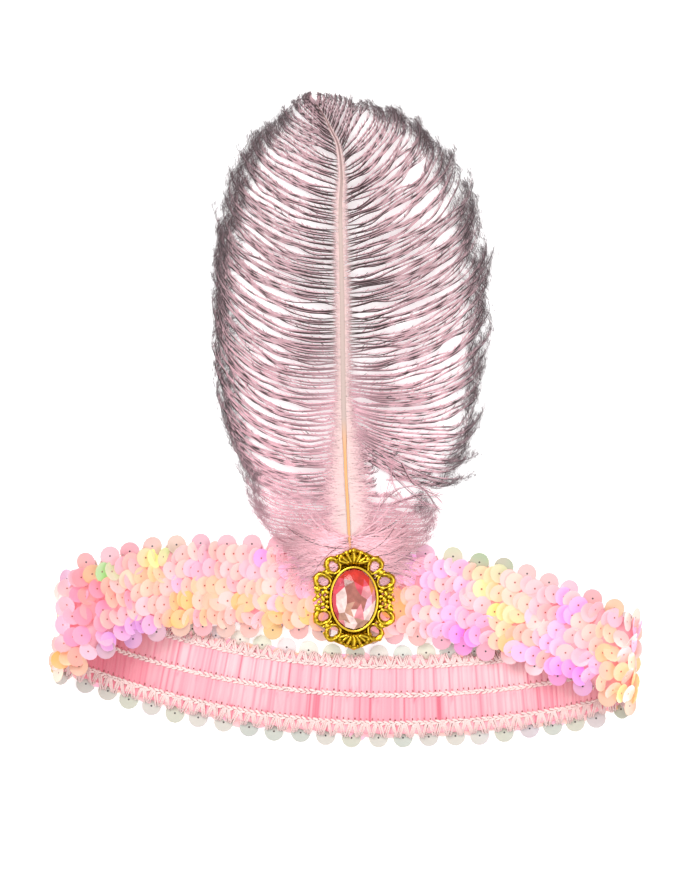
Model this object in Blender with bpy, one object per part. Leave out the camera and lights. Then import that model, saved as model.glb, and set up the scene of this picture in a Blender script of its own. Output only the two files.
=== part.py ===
"""Flapper headpiece: a sequin headband lying flat, with a plume and a filigree brooch.

The headpiece lies on its back on a table. +Z is up, +Y runs along the plume
towards its tip, and +X is to the wearer's left. The band is one closed loop:
its front half shows its sequins, and its back half, pulled down in -Y, shows
its knitted inside. Both ends of the loop stand up as soft round turns.
"""

import math

import bmesh
import bpy
import numpy as np
from mathutils import Vector

MM = 0.001

# The elastic band, measured across (w) and outwards (n) from the knit's middle
KNIT_HALF_WIDTH = 14.8 * MM
KNIT_HALF_THICK = 0.9 * MM
KNIT_EDGE_THICK = 0.7 * MM
STITCH_LINES = (12.3 * MM, 0.7 * MM, -10.6 * MM)
STITCH_HALF_WIDTH = 0.9 * MM
STITCH_HEIGHT = 0.5 * MM
PIECE_GAP = 0.3 * MM

# The sequins on the outer face
FIELD_HALF_WIDTH = 12.2 * MM
FIELD_THICK = 1.5 * MM
SEQUIN_RADIUS = 3.95 * MM
SEQUIN_SIDES = 10
SEQUIN_THICK = 0.9 * MM
SEQUIN_PITCH = 10.0 * MM
EDGE_ROW_OFFSET = 17.0 * MM
EDGE_SUBSTEPS = 8  # steps between two sequins when their slope is read

FIELD_BOTTOM = KNIT_HALF_THICK + PIECE_GAP
FIELD_TOP = FIELD_BOTTOM + FIELD_THICK
BACK_REST = FIELD_TOP
STITCH_CLEARANCE = 0.05 * MM
FRONT_REST = KNIT_HALF_THICK + STITCH_HEIGHT + STITCH_CLEARANCE

# The route of the knit's middle, once round the loop, in millimetres, and how
# far the line across the band leans from +Y towards +X, in degrees
BAND_ROUTE = (
    # place                    x       y      z    lean
    ("front middle",          0.0,  -67.7,  1.4,   3.4),
    ("front, right",         21.3,  -69.2,  1.5,   5.2),
    ("front, right",         42.7,  -71.6,  2.9,   9.0),
    ("front, right",         61.8,  -75.6,  6.2,  12.0),
    ("front, right",         80.8,  -81.6, 12.2,   9.0),
    ("right turn, crown",    96.6,  -88.2, 18.2,   5.0),
    ("right turn, shoulder", 107.9, -93.0, 17.0,   4.0),
    ("right turn, end",      113.3, -96.1, 10.9,   4.0),
    ("right turn, foot",     107.9, -98.8,  4.6,   4.0),
    ("back, right",           97.2, -102.3, 2.7,   1.0),
    ("back, right",          79.6, -106.1,  2.7,  -5.0),
    ("back, right",          50.0, -109.6,  2.7,  -4.0),
    ("back middle",          12.0, -110.9,  2.7,   1.0),
    ("back, left",          -25.3, -108.4,  2.7,   6.8),
    ("back, left",          -58.5, -102.5,  2.7,  12.0),
    ("back, left",          -83.2,  -96.0,  2.7,  10.0),
    ("back, left",          -99.0,  -90.6,  2.7,   6.0),
    ("left turn, foot",    -109.9,  -86.4,  4.6,   5.0),
    ("left turn, end",     -115.5,  -82.8, 10.9,   5.0),
    ("left turn, shoulder", -110.0, -79.0, 17.0,   5.0),
    ("left turn, crown",    -98.6,  -72.6, 18.4,   3.0),
    ("front, left",         -78.0,  -66.4, 11.0,  -4.0),
    ("front, left",         -57.7,  -65.3,  4.2,  -1.0),
    ("front, left",         -37.5,  -66.2,  1.6,   2.4),
)
ROUTE_SAMPLES = 40  # samples between two rows of the table
BAND_STATIONS = 78
TURN_WEIGHT = 16 * MM  # how strongly stations crowd where the band turns

# The quill, from its hidden foot under the brooch to the tip, in millimetres
SHAFT_ROUTE = (
    #   x       y     z   width height
    (1.8, -73.3, 5.25, 2.6, 1.5),
    (0.3, -49.4, 5.35, 3.0, 1.6),
    (-0.4, -35.2, 5.5, 3.2, 1.8),
    (-1.3, -19.8, 5.3, 3.2, 1.8),
    (-2.2, 8.1, 4.6, 3.2, 1.8),
    (-2.8, 49.8, 4.2, 3.0, 1.7),
    (-3.5, 84.6, 4.2, 2.4, 1.5),
    (-3.0, 100.0, 4.5, 1.6, 1.2),
    (-4.3, 111.8, 4.8, 1.2, 1.0),
    (-7.1, 118.0, 5.0, 1.0, 0.9),
    (-10.2, 124.2, 5.2, 0.8, 0.8),
    (-13.2, 128.8, 5.4, 0.6, 0.6),
)
SHAFT_STATIONS = 24
SHAFT_SIDES = 8

# The barbs by the height of their root on the quill. Headings are in degrees
# from +Y, at the root and at the tip of the barb; lengths in millimetres.
VANE_LEFT = (
    # root, heading, tip heading, length, tip height
    (-56.0, 103, 96, 21, 6.3),
    (-52.0, 103, 94, 26, 6.0),
    (-45.4, 98, 85, 33, 5.2),
    (-35.0, 103, 55, 43, 2.6),
    (-23.0, 110, 28, 55, 0.4),
    (-11.0, 110, 16, 63, 0.4),
    (3.2, 106, 11, 69, 0.4),
    (19.0, 100, 14, 67, 0.4),
    (37.7, 96, 22, 64, 0.4),
    (54.0, 92, 29, 60.5, 0.4),
    (69.0, 90, 31, 54, 0.4),
    (80.0, 86, 32, 50, 0.4),
    (94.4, 80, 40, 41, 0.6),
    (105.0, 70, 46, 31, 1.4),
    (112.0, 64, 40, 25, 2.4),
    (120.0, 52, 36, 16, 3.6),
    (128.0, 42, 32, 7, 4.8),
)
VANE_RIGHT = (
    (-56.0, 100, 98, 24, 6.4),
    (-52.0, 101, 96, 29, 6.4),
    (-45.4, 97, 91, 34, 6.0),
    (-38.0, 96, 88, 36, 3.4),
    (-31.0, 94, 86, 31, 2.0),
    (-28.0, 92, 86, 11, 4.6),
    (-19.0, 104, 94, 11, 4.4),
    (-16.0, 114, 36, 62, 0.4),
    (-7.0, 110, 27, 67, 0.4),
    (5.3, 103, 26, 70, 0.4),
    (19.0, 97, 32, 69.5, 0.4),
    (33.6, 92, 34, 69, 0.4),
    (50.0, 86, 37, 66, 0.4),
    (65.0, 82, 34, 62, 0.4),
    (77.0, 77, 28, 58, 0.4),
    (88.0, 74, 16, 50, 0.6),
    (96.0, 71, 10, 42, 1.0),
    (104.0, 64, 2, 30, 2.0),
    (111.0, 34, 6, 21, 3.2),
    (120.0, 14, -2, 13, 4.4),
    (128.0, -8, -10, 5, 5.2),
)
LOCKS_PER_SIDE = 20
LOCK_CROWDING = 1.35  # locks grow narrower towards the tip
LOCK_SEGMENTS = 5
LOCK_SUBSTEPS = 4  # strides of the curve within one segment
LOCK_INSET = 0.25  # how far inside the lock its two bounding barbs are read
LOCK_WIDTH = ((0.0, 0.98), (0.35, 0.93), (0.7, 0.84), (0.9, 0.66), (1.0, 0.25))
LOCK_ROOT_THICK = 1.0 * MM
LOCK_TIP_THICK = 0.6 * MM
VANE_STRIP = 1.0 * MM
VANE_LOW, VANE_HIGH = -55.5 * MM, 127.5 * MM

# The brooch, in its own frame: origin at the middle of its back face
BROOCH_CENTRE = (2.0 * MM, -70.9 * MM, 6.35 * MM)
STONE_HALF = (9.1 * MM, 12.5 * MM)
STONE_GAP = 0.2 * MM
BEZEL_WALL = 1.3 * MM
BEZEL_HEIGHT = 3.0 * MM
BEZEL_TAPER = 0.75  # the rim's thickness over the wall's
BEZEL_SHOULDER = 0.7  # where the wall starts to taper, over its height
BEZEL_LIP = 0.93  # the height of the rim's inner edge, over the wall's
TRAY_FLOOR = 0.7 * MM
GIRDLE_LOW, GIRDLE_HIGH = 1.9 * MM, 2.5 * MM
TABLE_HEIGHT = 4.6 * MM
OVAL_SIDES = 32
STONE_FACETS = 16
STONE_SHARES = (0.5, 0.99, 0.99, 0.84, 0.6)  # back, girdle twice, crown, table
CROWN_SHARE = 0.6  # how far up the crown its facets break
LOOP_PLACES = ((8.4 * MM, 13.3 * MM), (12.6 * MM, 7.2 * MM))
LOOP_RADIUS = 3.9 * MM
LOOP_HOLE = 1.9 * MM
LOOP_THICK = 1.5 * MM
LOOP_LIFT = 0.12 * MM  # the border's back stands off the tray's by this
LOOP_BEVEL = 0.5 * MM
LOOP_RIM_LOW, LOOP_RIM_INNER = 0.6, 0.8  # heights over the loop's thickness
LOOP_SIDES = 10
BEAD_SIDES = 8
BEAD_PROFILE = ((1.0, 0.06), (0.9, 0.6), (0.4, 1.0))  # radius and height, as shares
BEAD_SPRAY = (
    # across from the spray's axis, out from the bezel, radius, height, in mm
    (0.0, 1.7, 1.8, 2.4),
    (0.0, 4.7, 1.8, 2.0),
    (2.7, 2.0, 1.7, 2.1),
    (-2.7, 2.0, 1.7, 2.1),
)

MATERIALS = {
    # name             colour             roughness metallic
    "pink_knit": ((0.86, 0.50, 0.55), 0.85, 0.0),
    "sequin_plastic": ((0.93, 0.70, 0.66), 0.25, 0.1),
    "edge_sequin": ((0.80, 0.74, 0.70), 0.25, 0.1),
    "plume_pink": ((0.78, 0.50, 0.55), 0.8, 0.0),
    "quill_horn": ((0.88, 0.68, 0.58), 0.5, 0.0),
    "gilt_metal": ((0.66, 0.52, 0.06), 0.3, 1.0),
    "rose_stone": ((0.82, 0.30, 0.38), 0.08, 0.0),
}


def clear_scene():
    for old in list(bpy.data.objects):
        bpy.data.objects.remove(old)


def material(name):
    found = bpy.data.materials.get(name)
    if found:
        return found
    colour, roughness, metallic = MATERIALS[name]
    made = bpy.data.materials.new(name)
    made.use_nodes = True
    shader = made.node_tree.nodes["Principled BSDF"]
    shader.inputs["Base Color"].default_value = (*colour, 1.0)
    shader.inputs["Roughness"].default_value = roughness
    shader.inputs["Metallic"].default_value = metallic
    return made


def add_object(name, points, faces, material_name):
    """One closed mesh object, its faces turned outwards."""
    mesh = bpy.data.meshes.new(name)
    mesh.from_pydata([tuple(p) for p in points], [], faces)
    shape = bmesh.new()
    shape.from_mesh(mesh)
    bmesh.ops.recalc_face_normals(shape, faces=shape.faces)
    if shape.calc_volume(signed=True) < 0:
        bmesh.ops.reverse_faces(shape, faces=shape.faces)
    shape.to_mesh(mesh)
    shape.free()
    made = bpy.data.objects.new(name, mesh)
    made.data.materials.append(material(material_name))
    bpy.context.scene.collection.objects.link(made)
    return made


def catmull_rom(before, start, end, after, t):
    """A smooth curve from start to end that heads for its neighbours."""
    return 0.5 * (
        2 * start
        + (end - before) * t
        + (2 * before - 5 * start + 4 * end - after) * t**2
        + (3 * start - before - 3 * end + after) * t**3
    )


def unit(v):
    return v / np.linalg.norm(v, axis=-1, keepdims=True)


def band_samples():
    """Fine samples of the band's route: its points and the lines across it."""
    rows = np.array([row[1:] for row in BAND_ROUTE], float)
    samples = []
    for i in range(len(rows)):
        ends = [rows[(i + k) % len(rows)] for k in (-1, 0, 1, 2)]
        samples += [catmull_rom(*ends, k / ROUTE_SAMPLES) for k in range(ROUTE_SAMPLES)]
    samples = np.array(samples)
    points = samples[:, :3] * MM
    lean = np.radians(samples[:, 3])
    goes_left = np.roll(points, -1, 0)[:, 0] < points[:, 0]
    points[:, 2] = np.maximum(points[:, 2], np.where(goes_left, BACK_REST, FRONT_REST))
    return points, np.stack([np.sin(lean), np.cos(lean), 0 * lean], 1)


def band_frames(count, even):
    """Stations round the band: centre, along, across and outwards.

    Even stations suit the sequins; the others crowd together at the turns.
    """
    points, across = band_samples()
    along = unit(np.roll(points, -1, 0) - np.roll(points, 1, 0))
    steps = np.linalg.norm(np.roll(points, -1, 0) - points, axis=1)
    turns = np.linalg.norm(np.roll(along, -1, 0) - along, axis=1)
    cost = steps + (0 if even else TURN_WEIGHT) * turns
    reached = np.concatenate([[0], np.cumsum(cost)])
    wanted = np.arange(count) / count * reached[-1]

    def sampled(values):
        looped = np.concatenate([values, values[:1]])
        return np.stack([np.interp(wanted, reached, looped[:, k]) for k in range(3)], 1)

    centre, tangent, level = sampled(points), unit(sampled(along)), unit(sampled(across))
    outward = np.cross(tangent, level)
    square = np.linalg.norm(outward, axis=1, keepdims=True)
    return centre, tangent, level / square, outward / square


def band_length():
    points, _ = band_samples()
    return float(np.linalg.norm(np.roll(points, -1, 0) - points, axis=1).sum())


def sweep_loop(name, section, material_name):
    """A closed section of (w, n) points, swept once round the band."""
    centre, _, across, outward = band_frames(BAND_STATIONS, even=False)
    points = [c + w * a + n * o for c, a, o in zip(centre, across, outward) for w, n in section]
    size, faces = len(section), []
    for i in range(BAND_STATIONS):
        this, following = i * size, (i + 1) % BAND_STATIONS * size
        for k in range(size):
            after = (k + 1) % size
            faces.append((this + k, this + after, following + after, following + k))
    return add_object(name, points, faces, material_name)


def elastic_backing():
    """The knitted loop, its inner face ribbed by three stitched lines."""
    section = [(-KNIT_HALF_WIDTH, KNIT_HALF_THICK), (KNIT_HALF_WIDTH, KNIT_HALF_THICK)]
    section.append((KNIT_HALF_WIDTH, -KNIT_EDGE_THICK))
    for line in STITCH_LINES:
        section.append((line + STITCH_HALF_WIDTH, -KNIT_HALF_THICK))
        section.append((line, -KNIT_HALF_THICK - STITCH_HEIGHT))
        section.append((line - STITCH_HALF_WIDTH, -KNIT_HALF_THICK))
    section.append((-KNIT_HALF_WIDTH, -KNIT_EDGE_THICK))
    return sweep_loop("elastic_backing", section, "pink_knit")


def sequin_field():
    """The overlapping rows between the two edge rows, as one layer."""
    section = [
        (-FIELD_HALF_WIDTH, FIELD_BOTTOM),
        (-FIELD_HALF_WIDTH, FIELD_TOP),
        (FIELD_HALF_WIDTH, FIELD_TOP),
        (FIELD_HALF_WIDTH, FIELD_BOTTOM),
    ]
    return sweep_loop("sequin_field", section, "sequin_plastic")


def edge_frames(offset, count):
    """Stations along a line at a distance from the knit's middle, each with its own plane."""
    centre, _, across, _ = band_frames(count * EDGE_SUBSTEPS, even=True)
    line = centre + offset * across
    tangent = unit(np.roll(line, -1, 0) - np.roll(line, 1, 0))
    outward = unit(np.cross(tangent, across))
    sideways = np.cross(outward, tangent)
    kept = slice(None, None, EDGE_SUBSTEPS)
    return list(zip(line[kept], tangent[kept], sideways[kept], outward[kept]))


def sequin_edge(name, offset):
    """One row of round sequins along an edge, each joined to the next by its thread."""
    count = round(band_length() / SEQUIN_PITCH)
    frames = edge_frames(offset, count)
    points, faces = [], []
    step = 2 * math.pi / SEQUIN_SIDES
    heights = (FIELD_BOTTOM, FIELD_BOTTOM + SEQUIN_THICK)
    for c, t, a, o in frames:
        for n in heights:
            for k in range(SEQUIN_SIDES):
                angle = (k - 0.5) * step
                points.append(c + n * o + SEQUIN_RADIUS * (math.cos(angle) * t + math.sin(angle) * a))
    ring = 2 * SEQUIN_SIDES
    far = SEQUIN_SIDES // 2  # the side that faces the sequin before
    for i in range(count):
        low, high = i * ring, i * ring + SEQUIN_SIDES
        faces.append(tuple(low + k for k in range(SEQUIN_SIDES)))
        faces.append(tuple(high + k for k in range(SEQUIN_SIDES)))
        for k in range(SEQUIN_SIDES):
            after = (k + 1) % SEQUIN_SIDES
            if k not in (0, far):
                faces.append((low + k, low + after, high + after, high + k))
        next_low = (i + 1) % count * ring
        next_high = next_low + SEQUIN_SIDES
        here = (low, low + 1, high + 1, high)
        there = (next_low + far + 1, next_low + far, next_high + far, next_high + far + 1)
        for k in range(4):
            after = (k + 1) % 4
            faces.append((here[k], here[after], there[after], there[k]))
    return add_object(name, points, faces, "edge_sequin")


def shaft_samples(count):
    """Rows of x, y, z, width and height along the quill's smoothed route."""
    rows = np.array(SHAFT_ROUTE, float) * MM
    padded = np.concatenate([rows[:1], rows, rows[-1:]])
    spans = len(rows) - 1
    samples = []
    for i in range(count):
        at = i / (count - 1) * spans
        k = min(int(at), spans - 1)
        samples.append(catmull_rom(*padded[k : k + 4], at - k))
    return np.array(samples)


def shaft_at(y):
    """The quill's middle (x, z), width and height at a given y."""
    rows = shaft_samples(SHAFT_STATIONS)
    return [float(np.interp(y, rows[:, 1], rows[:, k])) for k in (0, 2, 3, 4)]


def feather_shaft():
    """The quill: an oval rod that thins towards the curled tip."""
    points, faces = [], []
    for x, y, z, width, height in shaft_samples(SHAFT_STATIONS):
        for side in range(SHAFT_SIDES):
            angle = (side + 0.5) * 2 * math.pi / SHAFT_SIDES
            points.append((x + width / 2 * math.cos(angle), y, z + height / 2 * math.sin(angle)))
    for i in range(SHAFT_STATIONS - 1):
        for side in range(SHAFT_SIDES):
            a, b = i * SHAFT_SIDES + side, i * SHAFT_SIDES + (side + 1) % SHAFT_SIDES
            faces.append((a, b, b + SHAFT_SIDES, a + SHAFT_SIDES))
    faces.append(tuple(range(SHAFT_SIDES)))
    faces.append(tuple((SHAFT_STATIONS - 1) * SHAFT_SIDES + k for k in range(SHAFT_SIDES)))
    return add_object("feather_shaft", points, faces, "quill_horn")


def barb(side, table, root_y, like_y):
    """Points along one barb from its root on the vane's strip, shaped like the barbs at like_y."""
    rows = np.array(table, float)
    heading, tip_heading, length, tip_z = (
        np.interp(like_y / MM, rows[:, 0], rows[:, k]) for k in (1, 2, 3, 4)
    )
    x, z, width, _ = shaft_at(root_y)
    place = np.array([x + side * (width / 2 + PIECE_GAP + VANE_STRIP), root_y])
    points, strides = [(*place, z)], LOCK_SEGMENTS * LOCK_SUBSTEPS
    for k in range(strides):
        share = (k + 0.5) / strides
        angle = math.radians(heading + (tip_heading - heading) * share)
        stride = length * MM / strides
        place = place + stride * np.array([side * math.sin(angle), math.cos(angle)])
        if (k + 1) % LOCK_SUBSTEPS == 0:
            done = (k + 1) / strides
            fall = done * done * (3 - 2 * done)
            points.append((*place, z + (tip_z * MM - z) * fall))
    return np.array(points)


def feather_vane(name, side, table):
    """The barbs of one side: locks that grow from a strip along the quill."""
    left_over = np.linspace(1, 0, LOCKS_PER_SIDE + 1) ** LOCK_CROWDING
    edges = VANE_HIGH - (VANE_HIGH - VANE_LOW) * left_over
    shares = np.linspace(0, 1, LOCK_SEGMENTS + 1)
    widths = np.interp(shares, *zip(*LOCK_WIDTH))
    thick = LOCK_ROOT_THICK + (LOCK_TIP_THICK - LOCK_ROOT_THICK) * shares
    points, faces = [], []

    def add_pair(place, height):
        """A point on the underside and one above it; returns the lower one's number."""
        points.append((place[0], place[1], place[2] - height / 2))
        points.append((place[0], place[1], place[2] + height / 2))
        return len(points) - 2

    inner, outer = [], []
    for y in edges:
        x, z, width, _ = shaft_at(y)
        for reach, numbers in ((PIECE_GAP, inner), (PIECE_GAP + VANE_STRIP, outer)):
            numbers.append(add_pair((x + side * (width / 2 + reach), y, z), LOCK_ROOT_THICK))

    def wall(a, b):
        faces.append((a, b, b + 1, a + 1))

    wall(inner[0], outer[0])
    wall(inner[-1], outer[-1])
    for i in range(LOCKS_PER_SIDE):
        wall(inner[i], inner[i + 1])
        for up in (0, 1):
            faces.append((inner[i] + up, inner[i + 1] + up, outer[i + 1] + up, outer[i] + up))
        inset = (edges[i + 1] - edges[i]) * LOCK_INSET
        lower = barb(side, table, edges[i], edges[i] + inset)
        upper = barb(side, table, edges[i + 1], edges[i + 1] - inset)
        last = (outer[i], outer[i + 1])
        for k in range(1, LOCK_SEGMENTS + 1):
            middle = (lower[k] + upper[k]) / 2
            half = (upper[k] - lower[k]) / 2 * widths[k]
            new = (add_pair(middle - half, thick[k]), add_pair(middle + half, thick[k]))
            wall(last[0], new[0])
            wall(last[1], new[1])
            for up in (0, 1):
                faces.append((last[0] + up, last[1] + up, new[1] + up, new[0] + up))
            last = new
        wall(*last)
    return add_object(name, points, faces, "plume_pink")


def oval_ring(half, grow, z):
    """Points of an oval with the given half axes, grown by a margin, at height z."""
    return [
        (
            (half[0] + grow) * math.cos(2 * math.pi * k / OVAL_SIDES),
            (half[1] + grow) * math.sin(2 * math.pi * k / OVAL_SIDES),
            z,
        )
        for k in range(OVAL_SIDES)
    ]


def loft(rings):
    """Points and faces of a solid through rings of equal size, both ends closed."""
    size = len(rings[0])
    points = [p for ring in rings for p in ring]
    faces = [tuple(range(size)), tuple((len(rings) - 1) * size + k for k in range(size))]
    for i in range(len(rings) - 1):
        for k in range(size):
            after = (k + 1) % size
            faces.append((i * size + k, i * size + after, (i + 1) * size + after, (i + 1) * size + k))
    return points, faces


def bezel_and_tray():
    """The oval cup that holds the stone: a floor, a wall and a rim turned inwards."""
    wall_low, wall_high = STONE_GAP + BEZEL_WALL, STONE_GAP + BEZEL_WALL * BEZEL_TAPER
    return loft(
        [
            oval_ring(STONE_HALF, wall_low, 0.0),
            oval_ring(STONE_HALF, wall_low, BEZEL_HEIGHT * BEZEL_SHOULDER),
            oval_ring(STONE_HALF, wall_high, BEZEL_HEIGHT),
            oval_ring(STONE_HALF, STONE_GAP, BEZEL_HEIGHT * BEZEL_LIP),
            oval_ring(STONE_HALF, STONE_GAP, TRAY_FLOOR),
        ]
    )


def filigree_loop(x, y, turn):
    """One pierced loop: a flat ring with a raised, bevelled rim."""
    points, faces = [], []
    profile = (
        (LOOP_HOLE, LOOP_LIFT),
        (LOOP_RADIUS, LOOP_LIFT),
        (LOOP_RADIUS, LOOP_THICK * LOOP_RIM_LOW),
        (LOOP_RADIUS - LOOP_BEVEL, LOOP_THICK),
        (LOOP_HOLE, LOOP_THICK * LOOP_RIM_INNER),
    )
    for k in range(LOOP_SIDES):
        angle = turn + 2 * math.pi * k / LOOP_SIDES
        for radius, z in profile:
            points.append((x + radius * math.cos(angle), y + radius * math.sin(angle), z))
    size = len(profile)
    for k in range(LOOP_SIDES):
        this, after = k * size, (k + 1) % LOOP_SIDES * size
        for j in range(size):
            other = (j + 1) % size
            faces.append((this + j, this + other, after + other, after + j))
    return points, faces


def bead(x, y, radius, height):
    """A round cast bead with a flat back."""
    rings = []
    for share, lift in BEAD_PROFILE:
        rings.append(
            [
                (
                    x + radius * share * math.cos(2 * math.pi * k / BEAD_SIDES),
                    y + radius * share * math.sin(2 * math.pi * k / BEAD_SIDES),
                    height * lift,
                )
                for k in range(BEAD_SIDES)
            ]
        )
    return loft(rings)


def filigree_pieces():
    """The pierced border: two loops in each quarter, and a spray of beads between quarters."""
    made = []
    for x, y in LOOP_PLACES:
        for sx, sy in ((1, 1), (-1, 1), (-1, -1), (1, -1)):
            made.append(filigree_loop(sx * x, sy * y, math.atan2(sy * y, sx * x)))
    bezel = [half + STONE_GAP + BEZEL_WALL for half in STONE_HALF]
    for ux, uy in ((1, 0), (0, 1), (-1, 0), (0, -1)):
        start = bezel[0] if ux else bezel[1]
        for across, out, radius, height in BEAD_SPRAY:
            x = ux * (start + out * MM) - uy * across * MM
            y = uy * (start + out * MM) + ux * across * MM
            made.append(bead(x, y, radius * MM, height * MM))
    return made


def brooch_setting():
    """One casting: the tray and bezel joined with every piece of the border."""
    setting = add_object("brooch_setting", *bezel_and_tray(), "gilt_metal")
    setting.location = BROOCH_CENTRE
    border = bpy.data.collections.new("filigree")
    bpy.context.scene.collection.children.link(border)
    for number, (points, faces) in enumerate(filigree_pieces()):
        piece = add_object(f"filigree_{number:02d}", points, faces, "gilt_metal")
        piece.location = BROOCH_CENTRE
        bpy.context.scene.collection.objects.unlink(piece)
        border.objects.link(piece)
        piece.hide_render = True
        piece.display_type = "WIRE"
    join = setting.modifiers.new("join_border", "BOOLEAN")
    join.operation = "UNION"
    join.operand_type = "COLLECTION"
    join.collection = border
    join.solver = "EXACT"
    return setting


def brooch_stone():
    """An oval cut stone: a table, two rows of crown facets, a girdle and a cut back."""
    facets = STONE_FACETS

    def ring(share, z, turn):
        angles = [2 * math.pi * (k + turn) / facets for k in range(facets)]
        return [
            (STONE_HALF[0] * share * math.cos(a), STONE_HALF[1] * share * math.sin(a), z)
            for a in angles
        ]

    rise = TABLE_HEIGHT - GIRDLE_HIGH
    rings = [
        ring(STONE_SHARES[0], TRAY_FLOOR + PIECE_GAP, 0.0),
        ring(STONE_SHARES[1], GIRDLE_LOW, 0.0),
        ring(STONE_SHARES[2], GIRDLE_HIGH, 0.0),
        ring(STONE_SHARES[3], GIRDLE_HIGH + rise * CROWN_SHARE, 0.5),
        ring(STONE_SHARES[4], TABLE_HEIGHT, 0.0),
    ]
    points = [p for r in rings for p in r]
    faces = [tuple(range(facets)), tuple(4 * facets + k for k in range(facets))]
    for i in (0, 1):
        for k in range(facets):
            after = (k + 1) % facets
            a, b = i * facets, (i + 1) * facets
            faces.append((a + k, a + after, b + after, b + k))
    for k in range(facets):
        after = (k + 1) % facets
        girdle, crown, table = 2 * facets, 3 * facets, 4 * facets
        faces.append((girdle + k, girdle + after, crown + k))
        faces.append((girdle + after, crown + after, crown + k))
        faces.append((crown + k, crown + after, table + after))
        faces.append((crown + k, table + after, table + k))
    made = add_object("brooch_stone", points, faces, "rose_stone")
    made.location = BROOCH_CENTRE
    return made


def centre_on_floor(parts):
    """Moves the whole headpiece so that its box stands on z = 0 and is centred there."""
    bpy.context.view_layer.update()
    graph = bpy.context.evaluated_depsgraph_get()
    corners = []
    for part in parts:
        shown = part.evaluated_get(graph)
        corners += [shown.matrix_world @ Vector(c) for c in shown.bound_box]
    low = Vector([min(c[k] for c in corners) for k in range(3)])
    high = Vector([max(c[k] for c in corners) for k in range(3)])
    shift = Vector((-(low.x + high.x) / 2, -(low.y + high.y) / 2, -low.z))
    for made in bpy.data.objects:
        made.location = made.location + shift


def main():
    clear_scene()
    parts = [
        elastic_backing(),
        sequin_field(),
        sequin_edge("sequin_edge_upper", EDGE_ROW_OFFSET),
        sequin_edge("sequin_edge_lower", -EDGE_ROW_OFFSET),
        feather_shaft(),
        feather_vane("feather_vane_left", -1, VANE_LEFT),
        feather_vane("feather_vane_right", 1, VANE_RIGHT),
        brooch_setting(),
        brooch_stone(),
    ]
    centre_on_floor(parts)


main()
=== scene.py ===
"""Flapper headpiece, dressed: its sequins, knit, stitches, plume, filigree and stone."""

import math

import bpy
import numpy as np
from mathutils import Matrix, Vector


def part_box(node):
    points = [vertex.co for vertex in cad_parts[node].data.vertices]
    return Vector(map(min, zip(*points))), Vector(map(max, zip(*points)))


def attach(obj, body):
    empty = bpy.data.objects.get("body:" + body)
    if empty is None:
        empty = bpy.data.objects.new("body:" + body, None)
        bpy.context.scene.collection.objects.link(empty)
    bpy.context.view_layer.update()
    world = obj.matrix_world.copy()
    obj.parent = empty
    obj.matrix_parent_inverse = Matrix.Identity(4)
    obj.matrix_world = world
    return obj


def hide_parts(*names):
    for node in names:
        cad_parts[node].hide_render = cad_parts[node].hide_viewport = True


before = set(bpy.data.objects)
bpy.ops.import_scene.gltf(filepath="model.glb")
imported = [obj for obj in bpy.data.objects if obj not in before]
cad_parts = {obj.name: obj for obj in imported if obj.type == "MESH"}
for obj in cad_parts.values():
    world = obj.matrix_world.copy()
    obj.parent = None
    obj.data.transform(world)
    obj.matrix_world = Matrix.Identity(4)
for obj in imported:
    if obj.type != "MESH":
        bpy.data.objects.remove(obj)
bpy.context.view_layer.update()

MM = 0.001  # in metres
rng = np.random.default_rng(0)


def deal(seed):
    """A fresh seeded generator, so that a change to one piece leaves the others as they are."""
    global rng
    rng = np.random.default_rng(seed)


# Sizes that the dressing shares with the solids: metres where MM stands behind the
# number, and millimetres where it doesn't. On the band w runs across it, and n runs
# outwards from the middle of the knit.
KNIT_HALF_WIDTH = 14.8 * MM
KNIT_HALF_THICK = 0.9 * MM
STITCH_LINES = (12.3 * MM, 0.7 * MM, -10.6 * MM)
EDGE_ROW_OFFSET = 17.0 * MM
SEQUIN_RADIUS = 3.95
SEQUIN_PITCH = 10.0 * MM
BACK_REST = 2.7 * MM  # the least height of the knit's middle in the back half
FRONT_REST = 1.45 * MM  # and in the front half
STONE_HALF = (9.1, 12.5)
BROOCH_AT = np.array([2.0, -70.9]) * MM  # before the whole piece was centred

# The route of the knit's middle, once round the loop: x, y and z in millimetres, and
# how far the line across the band leans from +Y towards +X, in degrees
BAND_ROUTE = (
    # front, from its middle to the right
    (0.0, -67.7, 1.4, 3.4),
    (21.3, -69.2, 1.5, 5.2),
    (42.7, -71.6, 2.9, 9.0),
    (61.8, -75.6, 6.2, 12.0),
    (80.8, -81.6, 12.2, 9.0),
    # right turn: crown, shoulder, end and foot
    (96.6, -88.2, 18.2, 5.0),
    (107.9, -93.0, 17.0, 4.0),
    (113.3, -96.1, 10.9, 4.0),
    (107.9, -98.8, 4.6, 4.0),
    # back, from the right to the left
    (97.2, -102.3, 2.7, 1.0),
    (79.6, -106.1, 2.7, -5.0),
    (50.0, -109.6, 2.7, -4.0),
    (12.0, -110.9, 2.7, 1.0),
    (-25.3, -108.4, 2.7, 6.8),
    (-58.5, -102.5, 2.7, 12.0),
    (-83.2, -96.0, 2.7, 10.0),
    (-99.0, -90.6, 2.7, 6.0),
    # left turn: foot, end, shoulder and crown
    (-109.9, -86.4, 4.6, 5.0),
    (-115.5, -82.8, 10.9, 5.0),
    (-110.0, -79.0, 17.0, 5.0),
    (-98.6, -72.6, 18.4, 3.0),
    # front, from the left to its middle
    (-78.0, -66.4, 11.0, -4.0),
    (-57.7, -65.3, 4.2, -1.0),
    (-37.5, -66.2, 1.6, 2.4),
)
ROUTE_SAMPLES = 40

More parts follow.
